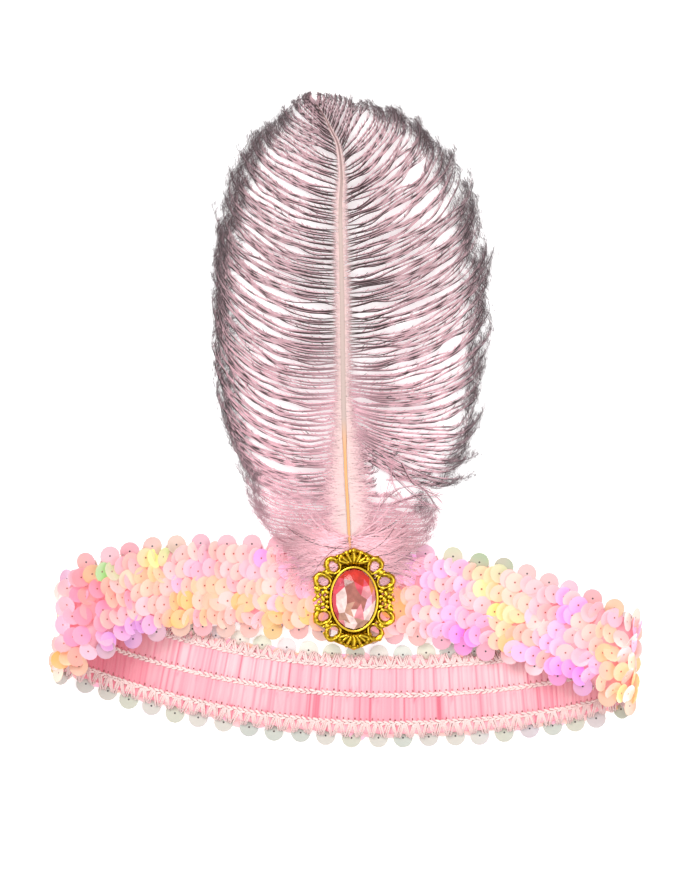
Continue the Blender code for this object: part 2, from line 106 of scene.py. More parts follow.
# The quill, from its hidden foot under the brooch to the tip, in millimetres
SHAFT_ROUTE = (
    #   x       y     z   width height
    (1.8, -73.3, 5.25, 2.6, 1.5),
    (0.3, -49.4, 5.35, 3.0, 1.6),
    (-0.4, -35.2, 5.5, 3.2, 1.8),
    (-1.3, -19.8, 5.3, 3.2, 1.8),
    (-2.2, 8.1, 4.6, 3.2, 1.8),
    (-2.8, 49.8, 4.2, 3.0, 1.7),
    (-3.5, 84.6, 4.2, 2.4, 1.5),
    (-3.0, 100.0, 4.5, 1.6, 1.2),
    (-4.3, 111.8, 4.8, 1.2, 1.0),
    (-7.1, 118.0, 5.0, 1.0, 0.9),
    (-10.2, 124.2, 5.2, 0.8, 0.8),
    (-13.2, 128.8, 5.4, 0.6, 0.6),
)
# The barbs by the height of their root on the quill. Headings are in degrees
# from +Y, at the root and at the tip of the barb; lengths in millimetres.
VANE_LEFT = (
    # root, heading, tip heading, length, tip height
    (-56, 103, 96, 15, 6.3),
    (-52, 103, 94, 23, 6),
    (-45.4, 98, 85, 33, 5.2),
    (-35, 103, 55, 44, 2.6),
    (-23, 110, 28, 57, 0.4),
    (-11, 110, 16, 65, 0.4),
    (3.2, 106, 11, 71, 0.4),
    (19, 100, 14, 69.5, 0.4),
    (37.7, 96, 22, 66.5, 0.4),
    (54, 92, 29, 62.5, 0.4),
    (69, 90, 31, 56, 0.4),
    (80, 86, 32, 52, 0.4),
    (94.4, 80, 42, 44, 0.6),
    (105, 70, 50, 34, 1.4),
    (112, 64, 46, 27, 2.4),
    (120, 50, 40, 17, 3.6),
    (128, 40, 36, 6, 4.8),
)
VANE_RIGHT = (
    (-56, 100, 98, 16, 6.4),
    (-52, 101, 96, 25, 6.4),
    (-45.4, 97, 91, 34, 6),
    (-38, 96, 88, 36, 3.4),
    (-31, 94, 86, 31, 2),
    (-28, 92, 86, 11, 4.6),
    (-9.5, 106, 96, 11, 4.4),
    (-8, 140, 92, 49, 0.4),
    (-3, 128, 80, 55, 0.4),
    (3, 120, 66, 60, 0.4),
    (10, 108, 50, 65, 0.4),
    (19, 98, 34, 71, 0.4),
    (33.6, 92, 34, 71.5, 0.4),
    (50, 86, 37, 68.5, 0.4),
    (65, 82, 34, 64, 0.4),
    (77, 77, 28, 60, 0.4),
    (88, 74, 18, 51, 0.6),
    (96, 70, 14, 43, 1),
    (104, 60, 12, 31, 2),
    (111, 34, 20, 22, 3.2),
    (120, 14, 26, 13, 4.4),
    (128, -4, 16, 5, 5.2),
)
# How close the barbs' roots are, by their height: more above the ragged hole, fewer beside it
ROOTS_LEFT = ((-57, 1.0), (128, 1.0))
ROOTS_RIGHT = (
    (-57, 1.0), (-29, 1.0), (-27, 0.6), (-10, 0.6), (-8, 1.7), (14, 1.5), (24, 1.0), (128, 1.0),
)
VANE_LOW, VANE_HIGH = -57.0, 128.0


# Small tools for numbers, meshes and materials

def unit(v):
    """Vectors of the same directions and of length 1."""
    return v / np.maximum(np.linalg.norm(v, axis=-1, keepdims=True), 1e-12)


def clamp(value):
    """The value, but never under 0 or over 1."""
    return np.clip(value, 0, 1)


def between(first, second, share):
    """A mix of two values: the first at a share of 0 and the second at 1."""
    return first * (1 - share) + second * share


def round_turn(count):
    """Evenly spaced angles, once round."""
    return np.arange(count) / count * 2 * math.pi


def bump(at, middle, reach):
    """A smooth rise to 1 at the middle, nearly gone at twice the reach."""
    return np.exp(-(((at - middle) / reach) ** 2))


def read_off(at, table):
    """The value at every place of at, from a table of places and their values."""
    places, values = zip(*table)
    return np.interp(at, places, values)


def catmull_rom(before, start, end, after, t):
    """A smooth curve from start to end that heads for its neighbours."""
    return 0.5 * (
        2 * start
        + (end - before) * t
        + (2 * before - 5 * start + 4 * end - after) * t**2
        + (3 * start - before - 3 * end + after) * t**3
    )


def srgb(red, green, blue):
    """A linear colour from the 0 to 255 values that a screen shows."""
    shown = np.array([red, green, blue]) / 255
    return np.where(shown <= 0.04045, shown / 12.92, ((shown + 0.055) / 1.055) ** 2.4)


def ramp(at, stops, colours):
    """Colours read off a scale of stops at every value of at."""
    table = np.array(colours)
    return np.stack([np.interp(at, stops, table[:, k]) for k in range(3)], -1)


def add_object(name, data):
    """An object in the scene from a mesh, lamp or camera, or an empty from None."""
    made = bpy.data.objects.new(name, data)
    bpy.context.scene.collection.objects.link(made)
    return made


def paint_points(mesh, layer_name, colours):
    """Puts a colour on each point of a mesh, as a named layer."""
    layer = mesh.color_attributes.new(layer_name, "FLOAT_COLOR", "POINT")
    filled = np.concatenate([clamp(colours), np.ones((len(colours), 1))], 1)
    layer.data.foreach_set("color", filled.ravel())


def add_mesh(name, points, faces, material, layers, smooth=True):
    """A mesh piece from point and face arrays, with named colours on its points."""
    mesh = bpy.data.meshes.new(name)
    points = np.asarray(points, float)
    faces = np.asarray(faces, np.int32)
    mesh.vertices.add(len(points))
    mesh.vertices.foreach_set("co", points.ravel())
    mesh.loops.add(faces.size)
    mesh.loops.foreach_set("vertex_index", faces.ravel())
    mesh.polygons.add(len(faces))
    mesh.polygons.foreach_set("loop_start", np.arange(len(faces), dtype=np.int32) * faces.shape[1])
    mesh.polygons.foreach_set("use_smooth", np.full(len(faces), smooth))
    mesh.update(calc_edges=True)
    for layer_name, colours in layers.items():
        paint_points(mesh, layer_name, colours)
    mesh.validate()
    mesh.materials.append(material)
    made = add_object(name, mesh)
    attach(made, "root")
    return made


def repeat_faces(faces, count, size):
    """The faces of count copies of a template that has size points."""
    offsets = np.arange(count)[:, None, None] * size
    faces = np.asarray(faces)
    return (faces[None] + offsets).reshape(-1, faces.shape[1])


def grid_faces(rows, columns, wrap_rows=False, wrap_columns=False):
    """Quads over a grid of points that are numbered row by row."""
    i = np.arange(rows if wrap_rows else rows - 1)
    j = np.arange(columns if wrap_columns else columns - 1)
    i, j = np.meshgrid(i, j, indexing="ij")
    i, j = i.ravel(), j.ravel()
    ni, nj = (i + 1) % rows, (j + 1) % columns
    return np.stack([i * columns + j, i * columns + nj, ni * columns + nj, ni * columns + j], 1)


def strand_mesh(paths, radii, colours, sides=3):
    """Thin tubes along paths of equal point counts, as points, faces and point colours."""
    along = unit(np.gradient(paths, axis=1))
    level = unit(np.cross(along, np.array([0.0, 0.0, 1.0])))
    rise = np.cross(level, along)
    turns = (np.arange(sides) / sides + 0.25) * 2 * math.pi
    around = (
        np.cos(turns)[None, None, :, None] * level[:, :, None]
        + np.sin(turns)[None, None, :, None] * rise[:, :, None]
    )
    rings = paths[:, :, None] + radii[:, :, None, None] * around
    count, steps = paths.shape[:2]
    faces = repeat_faces(grid_faces(steps, sides, wrap_columns=True), count, steps * sides)
    return rings.reshape(-1, 3), faces, np.repeat(colours.reshape(-1, 3), sides, axis=0)


def join(parts):
    """Several sets of points, faces and colours as one."""
    points, faces, colours, start = [], [], [], 0
    for part_points, part_faces, part_colours in parts:
        points.append(part_points)
        faces.append(np.asarray(part_faces) + start)
        colours.append(part_colours)
        start += len(part_points)
    return np.concatenate(points), np.concatenate(faces), np.concatenate(colours)


def set_inputs(node, values):
    """Sets a node's own inputs by their names."""
    for name, value in values.items():
        node.inputs[name].default_value = value


def new_material(name, roughness, metallic=0.0):
    """A material with its nodes, its links and its shader."""
    made = bpy.data.materials.new(name)
    made.use_nodes = True
    shader = made.node_tree.nodes["Principled BSDF"]
    set_inputs(shader, {"Roughness": roughness, "Metallic": metallic})
    return made, made.node_tree.nodes, made.node_tree.links, shader


def point_colour(nodes, layer_name):
    """The colour that the mesh's points or corners carry under a name."""
    tint = nodes.new("ShaderNodeVertexColor")
    tint.layer_name = layer_name
    return tint.outputs["Color"]


def mix_colours(nodes, links, factor, first, second):
    """The mix of two colours; the node names its colour sockets apart from its others."""
    mixer = nodes.new("ShaderNodeMix")
    mixer.data_type = "RGBA"
    sockets = {socket.identifier: socket for socket in [*mixer.inputs, *mixer.outputs]}
    links.new(factor, sockets["Factor_Float"])
    links.new(first, sockets["A_Color"])
    links.new(second, sockets["B_Color"])
    return sockets["Result_Color"]


def map_range(nodes, links, value, ends):
    """A value moved from one range to another."""
    spread = nodes.new("ShaderNodeMapRange")
    set_inputs(spread, ends)
    links.new(value, spread.inputs["Value"])
    return spread.outputs["Result"]


def scale_colour(nodes, links, colour, factor):
    """A colour dimmed or brightened by a number or by another node's output."""
    shade = nodes.new("ShaderNodeVectorMath")
    shade.operation = "SCALE"
    links.new(colour, shade.inputs["Vector"])
    if isinstance(factor, float):
        shade.inputs["Scale"].default_value = factor
    else:
        links.new(factor, shade.inputs["Scale"])
    return shade.outputs["Vector"]


def noise(nodes, links, grain, detail):
    """A cloudy pattern that keeps to the piece; a greater grain makes it finer."""
    place = nodes.new("ShaderNodeTexCoord")
    texture = nodes.new("ShaderNodeTexNoise")
    set_inputs(texture, {"Scale": grain, "Detail": detail})
    links.new(place.outputs["Object"], texture.inputs["Vector"])
    return texture.outputs["Fac"]


def add_bump(nodes, links, shader, grain, detail, strength, distance):
    """A fine noise relief on the surface."""
    relief = nodes.new("ShaderNodeBump")
    set_inputs(relief, {"Strength": strength, "Distance": distance})
    links.new(noise(nodes, links, grain, detail), relief.inputs["Height"])
    links.new(relief.outputs["Normal"], shader.inputs["Normal"])


def soft_material(name, roughness, sheen, grain, depth, glow=0.0):
    """A matt fibre look that takes its colour from the mesh's points, and glows in that colour by
    glow, a painted light.
    """
    made, nodes, links, shader = new_material(name, roughness)
    tint = point_colour(nodes, "tint")
    links.new(tint, shader.inputs["Base Color"])
    links.new(tint, shader.inputs["Emission Color"])
    set_inputs(shader, {
        "Emission Strength": glow,
        "Sheen Weight": sheen,
        "Sheen Roughness": 0.5,
        "Specular IOR Level": 0.3,
    })
    add_bump(nodes, links, shader, grain, detail=2.0, strength=0.3, distance=depth)
    return made


# The band's geometry

stone_low, stone_high = (np.array(corner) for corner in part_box("brooch_stone"))
SHIFT = np.append((stone_low + stone_high)[:2] / 2 - BROOCH_AT, 0.0)


class Band:
    """The knit's route, measured by the length s from the middle of the front."""

    def __init__(self):
        rows = np.array(BAND_ROUTE, float)
        samples = []
        for i in range(len(rows)):
            ends = [rows[(i + k) % len(rows)] for k in (-1, 0, 1, 2)]
            samples += [catmull_rom(*ends, k / ROUTE_SAMPLES) for k in range(ROUTE_SAMPLES)]
        samples = np.array(samples)
        points = samples[:, :3] * MM
        lean = np.radians(samples[:, 3])
        goes_left = np.roll(points, -1, 0)[:, 0] < points[:, 0]
        points[:, 2] = np.maximum(points[:, 2], np.where(goes_left, BACK_REST, FRONT_REST))
        along = unit(np.roll(points, -1, 0) - np.roll(points, 1, 0))
        across = np.stack([np.sin(lean), np.cos(lean), 0 * lean], 1)
        steps = np.linalg.norm(np.roll(points, -1, 0) - points, axis=1)
        self.reached = np.concatenate([[0], np.cumsum(steps)])
        self.length = float(self.reached[-1])
        self.tables = [np.concatenate([t, t[:1]]) for t in (points + SHIFT, along, across)]

    def frames(self, s):
        """Centre, along, across and outwards at each length s."""
        s = np.asarray(s, float) % self.length
        centre, along, level = (
            np.stack([np.interp(s, self.reached, table[:, k]) for k in range(3)], -1)
            for table in self.tables
        )
        along = unit(along)
        outward = np.cross(along, unit(level))
        square = np.linalg.norm(outward, axis=-1, keepdims=True)
        return centre, along, unit(level) / square, outward / square

    def at(self, s, w, n):
        """Points at length s, w across and n outwards."""
        centre, _, across, outward = self.frames(s)
        return centre + np.asarray(w)[..., None] * across + np.asarray(n)[..., None] * outward

    def is_back(self, s):
        """True where the band lies with its sequins down."""
        return self.frames(s)[3][..., 2] < -0.4


band = Band()
EDGE_COUNT = round(band.length / SEQUIN_PITCH)


# The knitted elastic

KNIT_STATIONS = 1500
KNIT_OUTER_COLUMNS = 4
PANEL_ARCH = 0.62 * MM
PANEL_EDGE = 4.2 * MM  # a panel has its full arch this far from a stitched line
KNIT_WEBS = 0.6 * MM  # from the knit's middle to its inner face at a stitched line
FRILL_DEPTH = 0.28 * MM
FRILL_PITCH = 4.9 * MM

# The gathers: fine ones, some of them wider, at uneven distances in each panel
FOLD_CELLS = 3600
FOLDS_PER_PANEL = 820
FOLD_WIDTHS = (0.2 * MM, 0.42 * MM)
FOLD_DEPTHS = (0.1, 1.0)
WIDE_FOLDS = 0.06  # share of the gathers
WIDER_BY = 1.7
FADE_LANES = 5  # lanes across a panel in which the gathers fade on their own

KNIT_RIDGE = srgb(249, 180, 189)
KNIT_PALE = srgb(251, 201, 205)
# Painted shade: darker pinks for the gathers' furrows and for the deepest of them
KNIT_FURROW_SHADE = srgb(233, 148, 164)
KNIT_DEEP_SHADE = srgb(210, 108, 126)
KNIT_MOUTH_SHADE = srgb(226, 120, 138)  # painted shade, deeper inside the left turn
KNIT_OUTSIDE = srgb(246, 176, 186)
MOUTH_X, MOUTH_REACH, MOUTH_TOP = -98 * MM, 26 * MM, 12 * MM


def smooth_walk(count, reach):
    """A smooth closed random line of about unit height."""
    steps = rng.normal(size=count)
    window = np.hanning(2 * reach + 1)
    padded = np.concatenate([steps[-reach:], steps, steps[:reach]])
    return np.convolve(padded, window / np.sqrt((window**2).sum()), "valid")


def fold_table():
    """Narrow furrows at uneven distances round the loop: 0 on the flat, 1 in the deepest."""
    s = np.arange(FOLD_CELLS) / FOLD_CELLS * band.length
    table = np.zeros(FOLD_CELLS)
    middles = rng.uniform(0, band.length, FOLDS_PER_PANEL)
    widths = rng.uniform(*FOLD_WIDTHS, FOLDS_PER_PANEL)
    depths = rng.uniform(*FOLD_DEPTHS, FOLDS_PER_PANEL) ** 2.2
    wide = rng.random(FOLDS_PER_PANEL) < WIDE_FOLDS
    widths = np.where(wide, widths * WIDER_BY, widths)
    for middle, width, depth in zip(middles, widths, depths):
        away = (s - middle + band.length / 2) % band.length - band.length / 2
        table = np.maximum(table, depth * bump(away, 0, width))
    return table


def panel_furrows(s_grid, w, columns, by_line):
    """How deep one panel's gathers are, 0 to 1, round the loop and at every place w across."""
    table = fold_table()
    table = np.append(table, table[0])
    cells = np.arange(FOLD_CELLS + 1) / FOLD_CELLS * band.length
    slant = 0.22 * smooth_walk(KNIT_STATIONS, 14) + 0.14 * smooth_walk(KNIT_STATIONS, 90)
    shifted = (s_grid + slant[:, None] * (w - columns.mean())) % band.length
    lanes = (w - columns.min()) / np.ptp(columns) * (FADE_LANES - 1)
    fade = np.zeros(s_grid.shape)
    for lane in range(FADE_LANES):
        walk = 0.5 + 0.55 * smooth_walk(KNIT_STATIONS, 4)[:, None]
        fade = fade + walk * clamp(1 - np.abs(lanes - lane))
    deep = clamp(np.interp(shifted, cells, table) * clamp(fade) * by_line)
    ripple = 0.3 + 0.3 * smooth_walk(KNIT_STATIONS, 2)[:, None]
    return np.maximum(deep, ripple)


def knit_columns():
    """Places across the knit, closer together beside the stitched lines."""
    places = [-KNIT_HALF_WIDTH, -14.2 * MM, -13.2 * MM, 13.6 * MM, 14.3 * MM, KNIT_HALF_WIDTH]
    for line in STITCH_LINES:
        places += [line + step * MM for step in (-1.1, -0.5, 0.0, 0.5, 1.1)]
    upper, middle, lower = STITCH_LINES
    places += list(np.linspace(middle + 2.2 * MM, upper - 2.2 * MM, 5))
    places += list(np.linspace(lower + 2.2 * MM, middle - 2.2 * MM, 5))
    return np.sort(places)


def knit_tints(furrow, arch, w, inner_points):
    """The inside's pinks: paler ridges in patches, painted shade in the gathers and beside the
    stitched lines, and painted shade deeper in the left turn.
    """
    patch = clamp(0.5 + 0.3 * smooth_walk(KNIT_STATIONS, 45))[:, None, None]
    # Painted shade: the deeper the gather, and the nearer a stitched line, the darker the pink
    depth = clamp(furrow + 0.25 * (1 - arch))[..., None]
    inside = between(between(KNIT_RIDGE, KNIT_PALE, patch), KNIT_FURROW_SHADE, depth)
    inside = between(inside, KNIT_DEEP_SHADE, clamp((furrow - 0.72) / 0.28)[..., None] * 0.8)
    below_middle = clamp((STITCH_LINES[1] - w) / (2 * MM))[None, :, None]
    inside = inside * (1 - below_middle * [0.0, 0.12, 0.1])
    # Painted shade inside the left turn, low down, where the turn shades the knit
    away = np.abs(inner_points[..., 0] - SHIFT[0] - MOUTH_X)
    mouth_shade = 0.75 * clamp(1.25 - away / MOUTH_REACH) * (inner_points[..., 2] < MOUTH_TOP)
    shaded = KNIT_MOUTH_SHADE * (0.7 + 0.3 * inside / KNIT_RIDGE)
    return between(inside, shaded, mouth_shade[..., None])


def knit_backing():
    """The shirred elastic: gathered furrows between three stitched lines."""
    s = np.arange(KNIT_STATIONS) / KNIT_STATIONS * band.length
    w = knit_columns()
    s_grid, w_grid = np.meshgrid(s, w, indexing="ij")
    lines = np.sort(STITCH_LINES)
    panel = np.searchsorted(lines, w)
    nearest = np.min([np.abs(w - line) for line in lines], axis=0)
    arch = clamp(nearest / PANEL_EDGE) ** 0.6
    by_line = 0.5 + 0.8 * bump(nearest, 1.1 * MM, 1.5 * MM)
    furrow = np.zeros(s_grid.shape)
    for number in range(len(lines) + 1):
        furrows = panel_furrows(s_grid, w, w[panel == number], by_line)
        furrow = np.where(panel == number, furrows, furrow)
    edge = np.sqrt(clamp((KNIT_HALF_WIDTH - np.abs(w_grid)) / (1.2 * MM)))
    swell = PANEL_ARCH * arch * (1 - 0.55 * furrow)
    inner = -(KNIT_WEBS + swell) * (0.3 + 0.7 * edge)
    frill = FRILL_DEPTH * np.sin(2 * math.pi * s_grid / FRILL_PITCH)
    w_frilled = w_grid + frill * (np.abs(w_grid) / KNIT_HALF_WIDTH) ** 6
    inner_points = band.at(s_grid, w_frilled, inner)
    outer_w = np.linspace(KNIT_HALF_WIDTH, -KNIT_HALF_WIDTH, KNIT_OUTER_COLUMNS)
    s_outer, w_outer = np.meshgrid(s, outer_w, indexing="ij")
    outer_points = band.at(s_outer, w_outer, np.full(s_outer.shape, KNIT_HALF_THICK))
    points = np.concatenate([inner_points, outer_points], axis=1)
    faces = grid_faces(*points.shape[:2], wrap_rows=True, wrap_columns=True)[:, ::-1]
    inside = knit_tints(furrow, arch, w, inner_points)
    outside = np.broadcast_to(KNIT_OUTSIDE, outer_points.shape)
    tints = np.concatenate([inside, outside], axis=1).reshape(-1, 3)
    material = soft_material("shirred_knit", roughness=0.85, sheen=0.15, grain=2600.0, depth=0.25 * MM)
    made = add_mesh("knit_backing", points.reshape(-1, 3), faces, material, {"tint": tints})
    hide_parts("elastic_backing")


# Stitches and threads

STITCH_PITCH = 2.3 * MM
STITCH_SIZE = np.array([1.3, 0.6, 0.42]) * MM
PLY_APART = 0.42 * MM  # from a stitched line to the middle of each of its two plies
THREAD_CLEAR = 0.1 * MM  # the least that a thread lies above the table
THREAD_PALE = srgb(250, 220, 216)
EDGE_THREAD_PINK = srgb(250, 217, 214)
THREAD = soft_material("cream_thread", roughness=0.8, sheen=0.2, grain=3000.0, depth=0.2 * MM)


def egg_template(sides, rings):
    """A unit ball whose axis is the first one, pinched nearly shut at both poles."""
    rows = np.linspace(0, math.pi, rings + 1)
    turns = round_turn(sides)
    reach = np.maximum(np.sin(rows), 0.03)
    ring = np.stack([np.cos(turns), np.sin(turns)], 1)
    points = [np.column_stack([np.full(sides, math.cos(r)), q * ring]) for r, q in zip(rows, reach)]
    return np.concatenate(points), grid_faces(rings + 1, sides, wrap_columns=True)


def stitched_lines():
    """Three lines of pale chain stitch along the inside."""
    template, faces = egg_template(5, 4)
    count = round(band.length / STITCH_PITCH)
    placed, shades = [], []
    for line in STITCH_LINES:
        for ply in (-1, 1):
            s = (np.arange(count) + 0.5 + 0.2 * ply) / count * band.length
            s = s + rng.normal(0, 0.1 * MM, count)
            w = line + ply * PLY_APART + rng.normal(0, 0.09 * MM, count)
            lift = -(KNIT_HALF_THICK + 0.1 * MM) + rng.normal(0, 0.04 * MM, count)
            centre = band.at(s, w, lift)
            _, along, across, outward = band.frames(s)
            turn = (ply * 0.28 + rng.normal(0, 0.12, count))[:, None]
            long = unit(along * np.cos(turn) + across * np.sin(turn))
            wide = np.cross(outward, long)
            axes = np.stack([long, wide, outward], 1) * STITCH_SIZE[None, :, None]
            placed.append(centre[:, None] + np.einsum("pk,nkj->npj", template, axes))
            shades.append(rng.uniform(0.86, 1.0, count))
    placed, shades = np.concatenate(placed), np.concatenate(shades)
    placed[..., 2] = np.maximum(placed[..., 2], THREAD_CLEAR)
    tints = np.repeat(THREAD_PALE * shades[:, None], len(template), axis=0)
    all_faces = repeat_faces(faces, len(placed), len(template))
    add_mesh("stitched_lines", placed.reshape(-1, 3), all_faces, THREAD, {"tint": tints})


NEEDLE_SIDES = 8
NEEDLE_FACES = [[0, 1, 2, 3], [0, 3, 4, 5], [0, 5, 6, 7]]
NEEDLE_ABOVE = 1.45 * MM  # from a stitched line to the dents over it
NEEDLE_HALF_WIDTH = 0.28 * MM
NEEDLE_HALF_HEIGHTS = (0.28, 0.65)
# Painted shade: the dark in the needle's dents, on flat discs; the pale end is the knit's pink
NEEDLE_HOLE_SHADE, NEEDLE_PALE = srgb(140, 66, 62), srgb(214, 132, 138)


def needle_holes():
    """The dents that the needle left above each stitched line: small flat discs painted with their
    shade.
    """
    count = round(band.length / STITCH_PITCH)
    turns = round_turn(NEEDLE_SIDES)
    rings, tints = [], []
    for line in STITCH_LINES:
        s = np.arange(count) / count * band.length + rng.normal(0, 0.15 * MM, count)
        w = line + NEEDLE_ABOVE + rng.normal(0, 0.12 * MM, count)
        long = rng.uniform(*NEEDLE_HALF_HEIGHTS, count)[:, None] * MM
        ring_s = s[:, None] + NEEDLE_HALF_WIDTH * np.cos(turns)
        ring_w = w[:, None] + long * np.sin(turns)
        rings.append(band.at(ring_s, ring_w, np.full(ring_s.shape, -(KNIT_HALF_THICK + 0.08 * MM))))
        tints.append(between(NEEDLE_HOLE_SHADE, NEEDLE_PALE, rng.uniform(0, 1, count)[:, None]))
    rings, tints = np.concatenate(rings), np.concatenate(tints)
    faces = repeat_faces(NEEDLE_FACES, len(rings), NEEDLE_SIDES)
    colours = np.repeat(tints, NEEDLE_SIDES, axis=0)
    add_mesh("needle_dent_shade", rings.reshape(-1, 3), faces, THREAD, {"tint": colours}, False)


VEE_FOOT = 2.0 * MM  # half the distance between a V's two feet, by the stitched line
VEE_HEAD = 0.4 * MM
VEE_STRANDS = (-1.5, -0.5, 0.5, 1.5)  # each leg's strands, in steps of STRAND_STEP
STRAND_STEP = 0.4 * MM
STRAND_RADII = (0.42, 0.52, 0.52, 0.5, 0.44, 0.32)


def edge_threads():
    """Pale threads that run in Vs from the outer stitched lines to the edge sequins."""
    share = np.linspace(0, 1, len(STRAND_RADII))
    pitch = band.length / EDGE_COUNT / 2
    paths = []
    for side, line in ((1, STITCH_LINES[0]), (-1, -STITCH_LINES[2])):
        for i in range(2 * EDGE_COUNT):
            for lean in (-1, 1):
                for strand in VEE_STRANDS:
                    apart = strand * STRAND_STEP + rng.normal(0, 0.18 * MM)
                    middle = (i + 0.5) * pitch + apart
                    s = middle + lean * (VEE_FOOT + (VEE_HEAD - VEE_FOOT) * share)
                    reach = EDGE_ROW_OFFSET - 0.6 * MM + rng.normal(0, 0.3 * MM)
                    w = side * (line + 0.2 * MM + (reach - line - 0.2 * MM) * share)
                    n = (-1.1 + 2.0 * share**1.6 - 0.45 * np.sin(math.pi * share)) * MM
                    paths.append(band.at(s, w, n))
    paths = np.array(paths)
    shade = rng.uniform(0.88, 1.0, (len(paths), 1, 1))
    colours = np.broadcast_to(EDGE_THREAD_PINK * shade, paths.shape)
    radii = np.broadcast_to(np.array(STRAND_RADII) * MM, paths.shape[:2])
    points, faces, tints = strand_mesh(paths, radii, colours)
    points[:, 2] = np.maximum(points[:, 2], THREAD_CLEAR)
    add_mesh("edge_threads", points, faces, THREAD, {"tint": tints})


# Sequins

SEQUIN_SIDES = 14
SEQUIN_RIPPLE = 0.06
# Radius and height in millimetres of each ring of points, from the hole outwards and back
SEQUIN_TOP = ((0.02, 0.1), (0.32, 0.08), (0.46, 0.08), (3.84, 0.33), (SEQUIN_RADIUS, 0.35))
SEQUIN_UNDER = ((SEQUIN_RADIUS, 0.28), (3.8, 0.25), (0.5, 0.0))
HOLE_SHADE_RINGS = 2  # the rings painted with the hole's shade
SEQUIN_CLEAR = 0.05 * MM  # the least that a sequin lies above the table


def sequin_template():
    """A shallow cupped disc, in millimetres, opening upwards; tells which points are painted with the
    hole's shade.
    """
    turns = round_turn(SEQUIN_SIDES)
    rings = []
    for radius, height in SEQUIN_TOP + SEQUIN_UNDER:
        ripple = SEQUIN_RIPPLE * np.cos(6 * turns) * (radius / SEQUIN_RADIUS) ** 2
        rings.append(np.stack([radius * np.cos(turns), radius * np.sin(turns), height + ripple], 1))
    faces = grid_faces(len(rings), SEQUIN_SIDES, wrap_columns=True)
    dark = np.arange(len(rings)) < HOLE_SHADE_RINGS
    return np.concatenate(rings), faces, np.repeat(dark, SEQUIN_SIDES)


# The film's colours, and how often each comes
FILM_MIX = (
    ((255, 200, 205), 6),
    ((255, 194, 204), 4),
    ((255, 204, 200), 5),
    ((255, 208, 202), 3),
    ((253, 197, 220), 2),
    ((255, 206, 182), 1),
)
# What the film turns to where it is seen aslant
FLASH_MIX = (
    ((255, 230, 218), 4),
    ((246, 184, 246), 3),
    ((255, 240, 180), 3),
    ((255, 206, 160), 2),
    ((206, 244, 196), 1),
    ((222, 196, 246), 1),
)
# Painted glints: where the film, which really is iridescent, is painted with a stronger flash colour:
# place of the zone's middle in mm before centring, its reach, the colour, and how many of its sequins
# flash
PAINTED_GLINT_ZONES = (
    # x, y, reach, colour, share
    (40, -68, 24, (255, 186, 234), 0.5),
    (78, -92, 24, (255, 186, 230), 0.4),
    (-84, -68, 16, (248, 168, 146), 0.6),
    (-90, -64, 7, (214, 214, 180), 0.5),
    (-104, -62, 10, (244, 110, 130), 1),
    (-101, -76, 11, (246, 120, 144), 1),
    (-108, -88, 8, (255, 140, 184), 0.9),
    (-72, -76, 8, (255, 190, 70), 0.8),
    (-62, -73, 8, (255, 186, 70), 0.7),
    (-46, -73, 8, (255, 190, 80), 0.7),
    (-30, -80, 9, (255, 204, 40), 0.9),
    (-58, -56, 7, (250, 150, 240), 0.5),
    (-39, -54, 7, (244, 140, 244), 0.5),
    (-19, -57, 7, (240, 150, 244), 0.5),
    (18, -59, 8, (244, 140, 250), 0.5),
    (30, -58, 8, (240, 170, 246), 0.4),
    (20, -75, 8, (255, 190, 80), 0.8),
    (-18, -80, 7, (255, 196, 60), 0.8),
    (34, -74, 8, (244, 150, 240), 0.5),
    (46, -88, 9, (248, 120, 240), 1),
    (58, -66, 9, (255, 236, 170), 0.7),
    (60, -76, 11, (255, 236, 140), 0.7),
    (66, -86, 8, (255, 200, 110), 0.6),
    (88, -72, 8, (244, 160, 244), 0.5),
    (88, -102, 9, (240, 110, 250), 1),
    (100, -96, 9, (255, 190, 130), 0.5),
    (110, -106, 9, (255, 216, 50), 0.8),
    (102, -71, 6, (236, 180, 60), 0.9),
    (42, -54, 4.5, (192, 216, 172), 1),
    (52.5, -56, 4.5, (156, 204, 148), 1),
    (62, -58, 4.5, (136, 204, 146), 1),
    (82, -62, 5.5, (250, 176, 200), 0.9),
    (-57, -51, 5, (214, 150, 184), 0.9),
    (-86, -54, 5, (232, 156, 180), 0.9),
    (-110, -62, 5, (218, 168, 184), 0.9),
    (-93, -87, 10, (206, 140, 226), 1),
    (-83, -83, 9, (206, 146, 230), 0.9),
    (-114, -98, 9, (255, 170, 20), 1),
    (-97, -59, 5, (90, 245, 50), 1),
    (-73.5, -52.5, 5, (90, 245, 60), 1),
    (-79, -55.5, 5, (226, 246, 90), 1),
)


def pick(choices, count):
    """Colours drawn from the choices by how often each comes."""
    often = np.array([weight for _, weight in choices], float)
    table = np.array([srgb(*colour) for colour, _ in choices])
    return table[rng.choice(len(table), count, p=often / often.sum())]


FLARE_SHARE = 0.78  # how much of its painted glint a sequin shows all over


def film_colours(centres, facing_up):
    """For each sequin the film's colour and the stronger colour of its flashing part, a painted glint
    from the zones.
    """
    plain = pick(FILM_MIX, len(centres)) * rng.uniform(0.95, 1.0, (len(centres), 1))
    painted_glint = plain
    for x, y, reach, colour, share in PAINTED_GLINT_ZONES:
        away = np.hypot(centres[:, 0] - SHIFT[0] - x * MM, centres[:, 1] - SHIFT[1] - y * MM)
        near = clamp(1.3 - away / (reach * MM))
        flash = (rng.random(len(centres)) < share) & facing_up
        strength = (near * flash * rng.uniform(0.7, 1.0, len(centres)))[:, None]
        painted_glint = between(painted_glint, srgb(*colour), strength)
    return between(plain, painted_glint, FLARE_SHARE), painted_glint


FILM_PAINTED_GLOW = 0.35  # painted light: the film glows in its own colour, standing in for the light that it lets through and softening its shade
